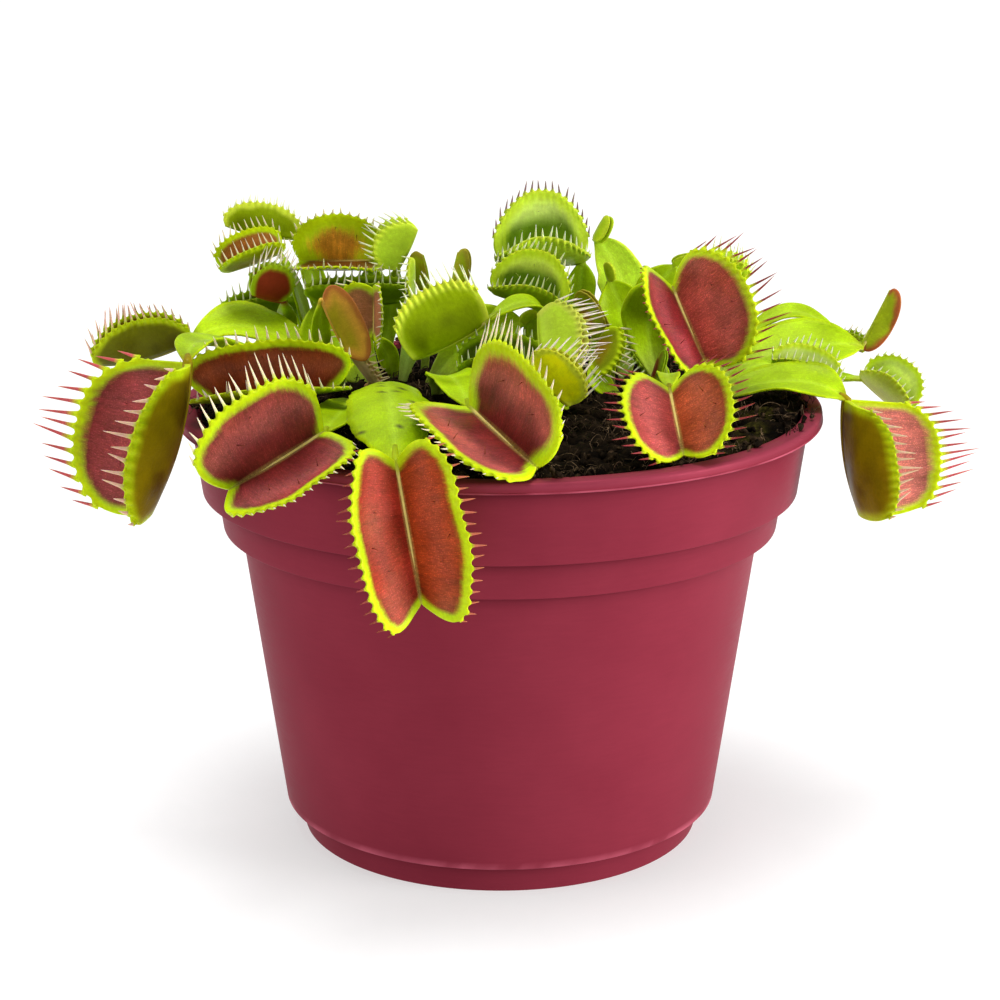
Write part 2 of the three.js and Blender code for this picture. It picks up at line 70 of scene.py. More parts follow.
POT_WALL = 1.2 * MM
POT_BANDS = (  # bottom, top, radius at the bottom, radius at the top
    (0.0, 0.0056, 0.0380, 0.0388),
    (0.0056, 0.0599, 0.0414, 0.0489),
    (0.0599, 0.0669, 0.0521, 0.0531),
    (0.0669, 0.0804, 0.0558, 0.0576),
)
RIM_RADIUS = 0.060
RIM_THICKNESS = 2.0 * MM
POT_SIDES = 192
DRAIN_HOLES = 6
DRAIN_RADIUS = 3.5 * MM
DRAIN_SIDES = 32
DRAIN_CIRCLE_RADIUS = 0.026
RIM_BOTTOM = POT_BANDS[-1][1]
RIM_TOP = RIM_BOTTOM + RIM_THICKNESS
RIDGE_HEIGHT = 0.12 * MM  # how far the mould's parting line stands out, low on the rim
RIDGE = ((0, 0), (RIDGE_HEIGHT, 0.1 * MM), (RIDGE_HEIGHT, 0.3 * MM), (0, 0.4 * MM))  # out, up
POT_RUN = 1.3 * MM  # the longest straight run in the pot's outline
BAND_FILLETS = (0.2 * MM, 0.35 * MM)  # at a band's bottom and top
RIDGE_FILLET = 0.05 * MM
RIM_FILLETS = (1.0 * MM, 0.5 * MM)  # on top of the rim, outside and inside
INNER_FILLET = 0.4 * MM
RIM_TOP_HIGHLIGHT = np.array((1.10, 1.35, 1.3))  # painted highlight: multiplies the plastic's colour on top of the rim
SCUFF_AND_HIGHLIGHT = np.array((1.9, 3.2, 2.8))  # and along the ridge and the foot's edge, for pale scuffs with a painted highlight

# ---- Peat ----

SOIL_TOP = 0.0826
SOIL_DROP = 1.4 * MM  # how much lower the peat is at its edge
SOIL_RADIUS = 0.0556
SOIL_RINGS = 80
SOIL_SIDES = 320
SOIL_GAP = 1.25 * POT_WALL  # from the pot's outside to the peat's side
CLODS = 1300
CLOD_SIZES = (0.5, 2.0)  # smallest and largest, in millimetres, as the pairs below are
CRUMBS = 1000
CRUMB_SIZES = (0.4, 1.5)
CRUMB_STEPS = 6
CRUMB_SIDES = 5
FIBRES = 2100
FIBRE_LENGTHS = (1.5, 7)
FIBRE_RADII = (0.05, 0.12)
FIBRE_ARCHES = (0.2, 2.0)  # how high a fibre arches
FIBRE_BEND = 0.65  # how far it turns from step to step, in radians
FIBRE_LIFT = 0.2 * MM  # how high the lowest fibres lie
FIBRE_STEPS = 7
FIBRE_SIDES = 3
CREEP = 2.8 * MM  # how far loose peat lies over the rim
SPILL = 3.8 * MM  # and on the right-hand side
HEAP = 1.4 * MM  # how much higher the peat's edge is there

# ---- Leaves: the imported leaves' own sizes ----

TIP_OVERHANG = 0.17  # how far a lobe reaches past its midrib, as a share of its length
LOBE_START = 0.42  # a lobe's width at its two ends, as a share of its full width
LOBE_ROUNDNESS = 2.4  # the powers that shape a lobe's free edge: higher is squarer
LOBE_FULLNESS = 1 / 1.8  # and lower is fuller
END_ROUNDNESS = 1.8  # how round a lobe's two ends are; 1 is straight
STALK_MIN_WIDTH = 1.4 * MM
STALK_FOLD = 0.25
ROOT_DEPTH = 2.0 * MM  # how far a stalk goes down into the peat
UPWARDS = (0, -0.3, 1)
FORWARDS = (0, -0.8, 0.4)

# ---- Leaves: detail ----

COLUMNS_PER_TOOTH = 6
LOBE_ROWS = 14
EDGE_SAMPLES = 500  # places at which the length of a lobe's free edge is measured
FEWEST_TEETH = 6
TOOTH_SPACING = 0.9 * MM  # on a very short edge
TOOTH_SPREAD = 0.03  # and how much wider it gets, as a share of the edge's length
FULL_WIDTH = 15 * MM  # the width of a lobe with its full thickness and bands
PAINTED_SHEEN = 0.035  # a painted sheen: how much a red lobe pales in its middle
LOBE_SHIFT = 40  # sets the texture of the two lobes apart, in millimetres
STREAKS = 90  # tones along a lobe's free edge
MARGIN_WARMTH = (1.0, 1.35, 1.0)  # multiplies the colour where red meets the pale margin
NOTCH_SHADE = (0.86, 0.8, 0.8)  # painted shade: multiplies the margin's colour in the notch between two teeth
WING_TONE = (1.25, 1.12, 1.3)  # and the stalk's colour along its edges
TOOTH_PLACES = np.array((-0.10, 0.0, 0.06, 0.14, 0.28, 0.5, 0.75, 1.0))  # shares along a tooth
TOOTH_WIDTHS = np.array((1.0, 0.96, 0.80, 0.66, 0.54, 0.43, 0.28, 0.05))
TOOTH_DEPTHS = np.array((1.0, 1.0, 0.95, 0.88, 0.78, 0.62, 0.42, 0.08))
SHORTEST_TOOTH = 0.4 * MM
HAIR_PLACES = ((0.36, 0.5), (0.52, 0.66), (0.66, 0.48))  # shares along and out over a lobe
HAIR_LENGTH = 1.5 * MM
HAIR_RADIUS = 0.09 * MM
HAIR_STEPS = 4
HAIR_GAPE = 35  # a lobe has hairs above this gape in degrees
HAIR_WIDTH = 9 * MM  # and this width
STALK_STEPS = 56
STALK_CORNERS = 13  # across one face
STALK_WAVES = 1.6  # waves along the stalk's edges
STALK_RUFFLE = 0.10  # and their height, as a share of its half width
NECK_START = 0.93  # where on the stalk the midrib begins
NECK_STEPS = 5
RIB_STEPS = 22
RIB_FULL_WIDTH = 14 * MM  # the width of a lobe whose midrib has its full radius
RIB_SIDES = 8
RIB_PLACES = (-0.2, -0.05, 0.0, 0.12, 0.6, 1.0)  # shares of the midrib from the hinge
RIB_RADII = (0.6, 0.85, 0.95, 0.52, 0.44, 0.26)  # in millimetres, at full radius

# ---- Colours: the tables below have 8-bit screen colours, which srgb makes linear ----

LIME = (196, 220, 14)
LEAF_GREEN = (166, 200, 8)
PALE_STALK = (156, 194, 76)


def srgb(red, green, blue):
    """The linear colour of an 8-bit screen colour."""
    share = np.array((red, green, blue)) / 255
    return np.where(share <= 0.04045, share / 12.92, ((share + 0.055) / 1.055) ** 2.4)


def make_linear(entry, *names):
    """Makes the colours that an entry was given linear, where it has them."""
    for name in names:
        colour = getattr(entry, name)
        if colour is not None:
            setattr(entry, name, srgb(*colour))


RIB = srgb(232, 214, 120)  # the midrib's face inside a trap
STALK_FOOT = srgb(176, 190, 96)
SPECK = srgb(70, 62, 34)
PLASTIC = (srgb(127, 42, 57), srgb(133, 46, 61))
PEAT = srgb(20, 14, 9)
PEAT_LIGHT = srgb(62, 48, 34)
FIBRE = srgb(124, 102, 78)
MOSS = srgb(46, 42, 14)


@dataclass
class Look:
    """The colours of one kind of leaf, and its teeth."""
    inside: tuple  # the glandular face of the lobes
    outside: tuple  # the back of the lobes
    margin: tuple  # the band along the free edge
    band: float  # how wide that band is
    tooth: tuple  # the teeth's outer half
    tooth_length: float
    stalk: tuple = None
    grain: float = 1.0  # how strongly the inside shows fibres and glands
    blush: tuple = None  # a second colour in patches on the back
    deep: tuple = None  # the glandular face near the midrib, where it differs: a deeper red in the red looks, and painted shade in the hollow of the green ones
    hollow: float = 0.62  # how far out that reaches, as a share of the lobe

    def __post_init__(self):
        make_linear(self, "inside", "outside", "margin", "tooth", "stalk", "blush", "deep")


LOOKS = {
    "maroon": Look((156, 62, 56), (150, 168, 10), LIME, 1.0 * MM, (240, 222, 190), 4.4 * MM,
        deep=(128, 34, 36), hollow=0.48),
    "bronze": Look((172, 68, 68), (146, 128, 2), LIME, 1.0 * MM, (200, 84, 96), 6.5 * MM,
        blush=(92, 70, 2)),
    "orange": Look((182, 66, 34), (158, 176, 12), LIME, 0.9 * MM, (206, 110, 90), 2.6 * MM),
    "wine": Look((190, 78, 68), (132, 128, 10), LIME, 0.85 * MM, (140, 44, 56), 4.4 * MM),
    "shade": Look((150, 60, 50), (108, 112, 1), LIME, 0.8 * MM, (240, 190, 176), 3.8 * MM, grain=0.4,
        blush=(72, 70, 1)),
    "green": Look((234, 252, 104), (164, 196, 10), (206, 230, 44), 1.2 * MM, (238, 240, 200), 3.0 * MM,
        grain=0.2, deep=(92, 128, 4)),
    "lime": Look((150, 178, 20), (140, 162, 1), (210, 226, 60), 1.0 * MM, (240, 244, 206), 3.6 * MM,
        grain=0.2, blush=(98, 112, 1)),
    "pale": Look((222, 244, 124), (184, 214, 50), (210, 234, 60), 1.2 * MM, (236, 240, 206), 2.8 * MM,
        grain=0.2, deep=(98, 134, 4)),
    "cup": Look((224, 240, 140), (196, 216, 70), (206, 228, 50), 1.2 * MM, (240, 240, 214), 2.4 * MM,
        grain=0.2, deep=(188, 206, 80)),
    "olive": Look((186, 120, 50), (138, 152, 8), LIME, 1.1 * MM, (236, 220, 190), 3.2 * MM, grain=0.6,
        blush=(146, 100, 20)),
    "bud": Look((150, 120, 30), (158, 176, 14), (160, 150, 40), 0.6 * MM, (200, 190, 120), 0.0, grain=0.2,
        blush=(176, 120, 40)),
    "tip": Look((158, 180, 10), (172, 202, 14), (196, 216, 40), 0.6 * MM, (200, 190, 120), 0.0,
        grain=0.2),
    "redbud": Look((150, 80, 40), (170, 186, 30), (176, 90, 50), 0.8 * MM, (200, 120, 90), 0.0,
        grain=0.2),
    "folded": Look((150, 80, 40), (216, 156, 60), (176, 104, 50), 0.5 * MM, (200, 120, 90), 0.0,
        grain=0.2, blush=(176, 156, 30)),
    "redback": Look((150, 54, 40), (132, 42, 24), (160, 190, 20), 0.6 * MM, (240, 226, 206), 4.4 * MM,
        grain=0.6),
    "brown": Look((140, 58, 22), (124, 136, 6), LIME, 1.1 * MM, (240, 220, 200), 4.4 * MM, grain=0.8),
    "dark": Look((98, 122, 10), (98, 126, 6), (150, 180, 20), 0.9 * MM, (230, 232, 196), 2.8 * MM,
        grain=0.3),
    "zipper": Look((178, 60, 62), (202, 234, 56), (210, 222, 80), 0.8 * MM, (246, 232, 220), 4.8 * MM,
        grain=0.6),
    "yellow": Look((168, 120, 60), (244, 248, 10), (216, 224, 50), 0.8 * MM, (244, 232, 214), 4.4 * MM,
        grain=0.3),
    "dried": Look((180, 150, 104), (176, 148, 106), (196, 168, 124), 1.0 * MM, (206, 184, 150), 3.0 * MM,
        stalk=(150, 112, 74), grain=0.4),
}


@dataclass
class Side:
    """What one lobe has of its own."""
    inside: tuple = None  # its glandular face
    tooth: tuple = None
    tooth_scale: float = 1.0
    band: float = 1.0

    def __post_init__(self):
        make_linear(self, "inside", "tooth")


@dataclass
class Leaf:
    """One leaf. Its root, the point that pulls its stalk into an arch, and the hinge and tip of the
    trap's midrib are places. width is one lobe's width across its face and blade is the stalk's
    width. gape, curl and bend are in degrees."""
    name: str
    look: str
    root: tuple
    over: tuple
    hinge: tuple
    tip: tuple
    opens: tuple  # the way the trap opens
    width: float
    gape: float
    curl: float = 20
    bend: float = 10
    blade: float = 0.004
    faces: tuple = FORWARDS  # the way the stalk's upper face looks
    start: float = LOBE_START
    distal: float = TIP_OVERHANG
    proximal: float = None
    fold: float = STALK_FOLD
    teeth: int = 0  # teeth on one lobe; 0 spaces them by the lobe's size
    tooth_scale: float = 1.0
    tooth_lean: float = 0.25  # how far the teeth lean over the trap
    tooth_skew: float = 0.0  # above 0, the teeth by the hinge are the longer ones
    scallop: float = 1.0  # how deep the free edge is scalloped
    first: Side = field(default_factory=Side)  # the lobe on the minus side across
    second: Side = field(default_factory=Side)  # and on the plus side
    specks: int = 0  # dark specks on the stalk
    stalk: tuple = LEAF_GREEN

    def __post_init__(self):
        make_linear(self, "stalk")


# Each leaf starts with its name, look, root, over, hinge, tip and opens.
LEAVES = (
    Leaf("leaf_far_left", "shade", (-.031, .016), (-.046, .02, .098), (-.06, .019, .09),
        (-.078, .015, .086), (-0.2, -0.35, 1),
        width=.009, gape=18, bend=35, blade=.014, faces=UPWARDS, start=0.2, distal=0.05, tooth_skew=-0.5,
        stalk=(196, 232, 16)),
    Leaf("leaf_left_outer", "bronze", (-.032, .012), (-.058, -.005, .101), (-.055, -.025, .095),
        (-.062, -.03, .069), (-0.8, -0.6, 0),
        width=.018, gape=55, curl=42, bend=30, blade=.007, faces=UPWARDS, distal=0.12, proximal=0,
        teeth=14, tooth_lean=-0.15, first=Side(tooth=(244, 196, 180)), second=Side((156, 54, 60))),
    Leaf("leaf_front_left", "maroon", (-.028, .006), (-.027, -.018, .086), (-.03, -.0435, .0868),
        (-.045, -.053, .0794), (0.05, -0.85, 0.5),
        width=.015, gape=52, curl=25, bend=15, blade=.009, faces=UPWARDS, distal=0.26, proximal=0.1,
        tooth_lean=-0.4, tooth_skew=0.35, first=Side((158, 60, 58), tooth_scale=0.3),
        second=Side(tooth_scale=1.15)),
    Leaf("leaf_left_brown", "brown", (-.031, .009), (-.0285, -.0015, .094), (-.03, -.014, .088),
        (-.053, -.014, .086), (0, -0.7, 0.7),
        width=.011, gape=45, curl=35, blade=.005, faces=UPWARDS, first=Side(tooth_scale=0.7)),
    Leaf("leaf_back_left_top", "lime", (-.034, .036), (-.036, .032, .098), (-.04, .034, .1075),
        (-.054, .031, .1105), (0.1, 0.3, 0.9),
        width=.006, gape=20, curl=15, bend=20, blade=.005, faces=UPWARDS, start=0.2, distal=0.05,
        tooth_scale=0.5),
    Leaf("leaf_back_left_olive", "olive", (-.0365, .0305), (-.0385, .0285, .096), (-.043, .026, .106),
        (-.053, .024, .1025), (-0.3, -0.6, 0.7),
        width=.007, gape=35, curl=25, bend=15, faces=UPWARDS),
    Leaf("leaf_back_left_maroon", "redback", (-.041, .03), (-.042, .03, .0905), (-.042, .022, .097),
        (-.048, .019, .099), (-0.3, -0.2, 0.9),
        width=.007, gape=22, faces=UPWARDS),
    Leaf("leaf_back_left_wide", "olive", (-.029, .031), (-.027, .033, .092), (-.0245, .03, .1035),
        (-.039, .0295, .1035), (0, -0.85, 0.5),
        width=.012, gape=42, curl=30, bend=5, blade=.006, start=0.3, distal=0.12,
        second=Side((232, 164, 46), band=3.2)),
    Leaf("leaf_back_left_dark", "dark", (-.023, .015), (-.031, .0164, .088), (-.0355, .021, .097),
        (-.019, .022, .097), (0, -0.35, 0.9),
        width=.0055, gape=25, bend=15, blade=.014),
    Leaf("leaf_back_left_pair", "pale", (-.023, .03), (-.022, .03, .094), (-.02, .024, .103),
        (-.016, .023, .111), (-0.7, -0.1, 0.6),
        width=.007, gape=28, blade=.005, start=0.3, distal=0.08),
    Leaf("leaf_left_small", "olive", (-.021, .018), (-.02, .017, .086), (-.024, .013, .092),
        (-.024, .014, .101), (-0.5, -0.8, 0.1),
        width=.008, gape=50, curl=15, first=Side((196, 130, 92), band=1.5),
        second=Side((190, 122, 84), band=1.5)),
    Leaf("leaf_left_edge_on", "green", (-.018, .021), (-.018, .019, .09), (-.0165, .016, .099),
        (-.0165, .016, .106), (-0.3, -0.9, 0),
        width=.004, gape=14, blade=.003),
    Leaf("leaf_left_bud_olive", "bud", (-.015, .025), (-.014, .024, .092), (-.014, .023, .1),
        (-.015, .023, .106), (-0.8, 0.2, 0.5),
        width=.003, gape=12, curl=15, blade=.003, scallop=0),
    Leaf("leaf_left_folded", "folded", (-.029, .013), (-.036, .006, .092), (-.033, .0015, .1013),
        (-.028, .0005, .0905), (0.9, 0.2, 0.3),
        width=.0055, gape=20, curl=25, faces=(0.6, -0.8, 0), scallop=0),
    Leaf("leaf_left_dried", "dried", (-.025, .01), (-.024, .009, .082), (-.0245, .008, .084),
        (-.03, .007, .092), (0.5, -0.6, 0.5),
        width=.003, gape=12, curl=10, bend=5, blade=.003, faces=UPWARDS),
    Leaf("leaf_front_hanging", "orange", (-.023, .007), (-.0194, -.024, .097), (-.017, -.06, .086),
        (-.013, -.063, .063), (0.12, -1, 0.1),
        width=.012, gape=54, curl=15, blade=.015, faces=UPWARDS, start=0.5, fold=-0.25, tooth_lean=-0.4,
        specks=9, first=Side((176, 62, 20), band=1.3),
        second=Side((164, 44, 30), (120, 40, 44), band=1.2)),
    Leaf("leaf_back_left_low", "dark", (-.036, .035), (-.038, .035, .088), (-.041, .034, .093),
        (-.053, .031, .092), (0, -0.3, 0.9),
        width=.005, gape=30, blade=.005, faces=UPWARDS),
    Leaf("leaf_middle_bud_olive", "bud", (-.019, .013), (-.0166, .009, .096), (-.009, .02, .1),
        (-.008, .02, .107), (0.5, -0.2, 0.5),
        width=.003, gape=12, curl=15, blade=.006, scallop=0, stalk=PALE_STALK),
    Leaf("leaf_middle_strap", "tip", (-.014, .012), (-.007, .01, .094), (.0045, .0085, .0955),
        (.007, .0085, .097), (0, -0.4, 0.9),
        width=.002, gape=12, curl=15, blade=.010, scallop=0),
    Leaf("leaf_middle_closed", "lime", (.01, .008), (.012, .002, .108), (-.002, -.006, .099),
        (-.016, -.008, .092), (-0.4, -0.1, 0.9),
        width=.011, gape=14, curl=22, bend=20, blade=.006, faces=UPWARDS, start=0.5, distal=0.1,
        tooth_scale=0.8, tooth_lean=0.1, tooth_skew=0.95, scallop=1.6),
    Leaf("leaf_middle_front", "maroon", (-.012, .004), (-.01, -.014, .095), (-.005, -.039, .09),
        (.006, -.056, .084), (-0.2, -0.72, 0.62),
        width=.016, gape=53, curl=30, blade=.009, faces=UPWARDS, distal=0.22, proximal=0.15,
        tooth_lean=-0.4, tooth_skew=0.75, first=Side((186, 80, 66), band=1.7),
        second=Side((190, 82, 74), tooth_scale=0.5, band=1.2)),
    Leaf("leaf_middle_edge_on", "zipper", (.008, 0), (.009, -.008, .086), (.008, -.014, .092),
        (.007, -.01, .101), (0.9, -0.3, 0.1),
        width=.0085, gape=25, curl=25),
    Leaf("leaf_middle_yellow", "yellow", (.014, -.001), (.012, -.014, .084), (.005, -.022, .093),
        (.012, -.024, .087), (0.75, -0.2, 0.6),
        width=.007, gape=20, curl=25, tooth_skew=-0.4, scallop=0.5),
    Leaf("leaf_back_middle_top", "pale", (.012, .02), (.016, .024, .096), (.016, .028, .104),
        (0, .027, .104), (0, -0.6, 0.8),
        width=.015, gape=40, curl=30, bend=20, blade=.006, start=0.25, distal=0.12,
        second=Side(tooth=(150, 112, 128), tooth_scale=1.3, band=1.4)),
    Leaf("leaf_back_middle_round", "green", (.012, .012), (.008, .0125, .092), (.011, .015, .097),
        (-.001, .015, .1), (0.2, -0.6, 0.75),
        width=.011, gape=40, curl=30, bend=20, blade=.010, start=0.25, second=Side(band=1.5)),
    Leaf("leaf_middle_comb", "dark", (.006, .005), (.007, 0, .084), (.007, -.0045, .0875),
        (-.006, -.0045, .088), (0, -0.5, 0.8),
        width=.009, gape=30, blade=.003, faces=UPWARDS),
    Leaf("leaf_back_right_broad", "tip", (.019, .017), (.03, .026, .098), (.0185, .029, .1085),
        (.0205, .029, .1125), (0.6, -0.4, 0.5),
        width=.003, gape=20, blade=.009, scallop=0, stalk=(202, 236, 56)),
    Leaf("leaf_right_large", "wine", (.032, .006), (.024, .008, .098), (.032, .003, .103),
        (.038, -.004, .09), (0.3, -0.9, 0.1),
        width=.0145, gape=50, blade=.01, distal=0.2, proximal=0.3, tooth_lean=-0.6,
        first=Side(tooth_scale=1.5), second=Side((142, 36, 42), tooth_scale=0.3)),
    Leaf("leaf_back_right_blade", "tip", (.024, .015), (.025, .017, .095), (.021, .018, .102),
        (.02, .018, .105), (0.3, -0.4, 0.5),
        width=.002, gape=14, curl=15, blade=.009, scallop=0),
    Leaf("leaf_right_hidden", "green", (.038, .013), (.04, .013, .094), (.038, .014, .103),
        (.046, .014, .102), (0.2, -0.3, 0.9),
        width=.006, gape=25, blade=.005),
    Leaf("leaf_right_heart", "wine", (.031, -.003), (.03, -.016, .095), (.029, -.038, .093),
        (.031, -.046, .0835), (0, -0.85, 0.5),
        width=.012, gape=55, curl=15, bend=5, faces=UPWARDS, tooth_scale=0.9, tooth_lean=-0.5,
        first=Side((176, 76, 38)), second=Side((172, 66, 64))),
    Leaf("leaf_right_olive", "olive", (.024, .003), (.019, .002, .084), (.017, .005, .088),
        (.02, .006, .095), (0.8, -0.4, 0.3),
        width=.0055, gape=15),
    Leaf("leaf_right_olive_rear", "bud", (.022, .012), (.02, .012, .086), (.018, .012, .092),
        (.014, .013, .099), (0.5, -0.5, 0.5),
        width=.005, gape=15, scallop=0.3),
    Leaf("leaf_right_dark", "dark", (.029, .009), (.031, .01, .084), (.031, .012, .087),
        (.027, .013, .093), (-0.8, -0.2, 0.5),
        width=.005, gape=15, blade=.003),
    Leaf("leaf_back_right_pointed", "tip", (.029, .018), (.026, .02, .098), (.034, .022, .104),
        (.038, .022, .105), (0, -0.3, 0.9),
        width=.002, gape=15, curl=10, blade=.008, scallop=0),
    Leaf("leaf_right_red_bud", "redback", (.027, .001), (.028, .001, .083), (.0285, .002, .0855),
        (.03, .002, .091), (0.5, -0.3, 0.5),
        width=.0018, gape=12, curl=10, bend=5, blade=.0025, tooth_scale=0, scallop=0),
    Leaf("leaf_right_arching", "redback", (.041, .018), (.054, .026, .103), (.067, .023, .089),
        (.071, .022, .087), (0.3, -0.3, 0.8),
        width=.003, gape=20, curl=10, blade=.005, faces=UPWARDS, tooth_scale=0.4),
    Leaf("leaf_right_upright", "redbud", (.037, .009), (.052, .013, .092), (.07, .017, .0892),
        (.075, .017, .1002), (0.8, -0.2, -0.3),
        width=.0035, gape=12, curl=15, bend=-5, blade=.013, faces=(0, -0.5, 0.8), start=0.2, distal=0.05,
        scallop=0),
    Leaf("leaf_right_outer", "bronze", (.035, -.003), (.054, -.004, .091), (.064, -.006, .084),
        (.067, -.01, .063), (0.85, -0.6, 0.1),
        width=.017, gape=50, curl=38, bend=30, blade=.012, faces=UPWARDS, start=0.6, distal=0.14,
        proximal=0, teeth=14, tooth_lean=-0.15, first=Side((224, 130, 118)),
        second=Side(tooth=(244, 206, 180), tooth_scale=0.75)),
    Leaf("leaf_right_pale", "cup", (.039, .006), (.054, .012, .085), (.069, .0078, .0848),
        (.076, .0058, .0788), (0.3, -0.6, 0.7),
        width=.009, gape=35, curl=30, faces=UPWARDS, start=0.3, tooth_scale=0.6),
    Leaf("leaf_right_small_pale", "cup", (.038, .002), (.048, .005, .09), (.052, .0059, .0873),
        (.0625, .0059, .0842), (0, -0.5, 0.85),
        width=.0065, gape=32, bend=20, faces=UPWARDS, start=0.3),
)

# ---- Mesh helpers ----

NOISE_WAVES = 4  # waves that wave_noise adds up in each octave
NOISE_REACH = 3.2  # about as far from 0 as they get


def wave_noise(points, size, seed, octaves=3):
    """Smooth seeded noise at places, about -1 to 1, whose largest waves are size long."""
    source = np.random.default_rng(seed)
    total = np.zeros(points.shape[:-1])
    weight = 1.0
    for _ in range(octaves):
        for _ in range(NOISE_WAVES):
            way = source.normal(size=3)
            way *= TURN / size / np.linalg.norm(way)
            total += weight * np.sin(points @ way + source.uniform(0, TURN))
        weight *= 0.5
        size *= 0.5
    return total / NOISE_REACH


def smooth_step(low, high, value):
    share = np.clip((value - low) / (high - low), 0, 1)
    return share * share * (3 - 2 * share)


def peak(value, width):
    """1 where the value is 0, and less the further it is from 0, in widths."""
    return np.exp(-(value / width) ** 2)


def mix(first, second, share):
    share = np.asarray(share)[..., None]
    return first * (1 - share) + second * share


def unit(vector):
    vector = np.asarray(vector, float)
    return vector / np.linalg.norm(vector, axis=-1, keepdims=True)


def round_angles(count, offset=0.0):
    return TURN * (np.arange(count) + offset) / count


def ring_faces(rings, corners):
    """The faces between neighbouring closed rings of points."""
    row = np.arange(rings - 1)[:, None] * corners
    corner = np.arange(corners)[None, :]
    after = (corner + 1) % corners
    return np.stack([row + corner, row + after, row + corners + after, row + corners + corner],
                    axis=-1).reshape(-1, 4)


def turned(outline, angle):
    """The rings that an outline of (radius, height) gives when it turns about +Z."""
    radius, height = np.array(outline).T[:, :, None]
    return np.stack([radius * np.cos(angle), radius * np.sin(angle), height + 0 * angle], axis=-1)


class Skin:
    """Gathers grids of points with their colours into one mesh."""

    def __init__(self):
        self.points = []
        self.faces = []
        self.tints = []
        self.grains = []
        self.count = 0

    def add(self, points, faces, tints, grain=None):
        """Points (n, 3), faces (m, 4) of indices, tints (n, 3), and grain (n, 3): a place along
        the surface in millimetres and how much of the glandular texture is there."""
        points = points.reshape(-1, 3)
        self.points.append(points)
        self.faces.append(faces + self.count)
        self.tints.append(tints.reshape(-1, 3))
        self.grains.append(np.zeros_like(points) if grain is None else grain.reshape(-1, 3))
        self.count += len(points)

    def loft(self, rings, tints, grain=None):
        """A tube through rings (rings, corners, 3), with flat ends of strips across. A ring with an
        odd number of corners leaves one small triangle of each end open."""
        ring_count, corners = rings.shape[:2]
        low = np.arange(corners // 2 - 1)
        strips = np.stack([low, corners - 1 - low, corners - 2 - low, low + 1], axis=-1)
        last = (ring_count - 1) * corners
        faces = (ring_faces(ring_count, corners), strips, strips[:, ::-1] + last)
        self.add(rings, np.concatenate(faces), tints, grain)

    def tube(self, path, radii, across, tints, sides=6, flat=None):
        """A tube round a path (n, 3). across is a direction off the path, and flat is the radii the
        other way round, where the tube isn't round. The tints are one colour, or one for each
        place, or one for each corner."""
        flat = radii if flat is None else flat
        tangent = unit(np.gradient(path, axis=0))
        first = unit(across - tangent * np.sum(tangent * across, axis=-1, keepdims=True))
        second = np.cross(tangent, first)
        angle = round_angles(sides, 0.5)
        rings = (path[:, None] + first[:, None] * np.cos(angle)[:, None] * radii[:, None, None]
                 + second[:, None] * np.sin(angle)[:, None] * flat[:, None, None])
        if tints.ndim == 2:
            tints = tints[:, None]
        self.loft(rings, np.broadcast_to(tints, rings.shape))

    def to_object(self, name, material):
        """Makes the mesh, and merges its points that lie on each other, such as those at a turned
        shape's poles."""
        points = np.concatenate(self.points)
        faces = np.concatenate(self.faces)
        mesh = bpy.data.meshes.new(name)
        mesh.vertices.add(len(points))
        mesh.vertices.foreach_set("co", points.ravel())
        mesh.loops.add(faces.size)
        mesh.loops.foreach_set("vertex_index", faces.ravel())
        mesh.polygons.add(len(faces))
        mesh.polygons.foreach_set("loop_start", np.arange(len(faces)) * 4)
        mesh.update(calc_edges=True)
        mesh.validate()
        mesh.polygons.foreach_set("use_smooth", np.ones(len(mesh.polygons), bool))
        colours = np.ones((len(points), 4))
        colours[:, :3] = np.concatenate(self.tints)
        tint = mesh.color_attributes.new("tint", "FLOAT_COLOR", "POINT")
        tint.data.foreach_set("color", colours.ravel())
        grain = mesh.attributes.new("grain", "FLOAT_VECTOR", "POINT")
        grain.data.foreach_set("vector", np.concatenate(self.grains).ravel())
        mesh.materials.append(material)
        weld(mesh)
        return link_object(name, mesh)


def weld(mesh, distance=1e-6):
    shape = bmesh.new()
    shape.from_mesh(mesh)
    bmesh.ops.remove_doubles(shape, verts=shape.verts, dist=distance)
    bmesh.ops.recalc_face_normals(shape, faces=shape.faces)
    shape.to_mesh(mesh)
    shape.free()


def link_object(name, data):
    thing = bpy.data.objects.new(name, data)
    bpy.context.scene.collection.objects.link(thing)
    return thing


def stand_for(thing, node):
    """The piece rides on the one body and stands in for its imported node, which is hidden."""
    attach(thing, "root")
    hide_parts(node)


# ---- Materials ----


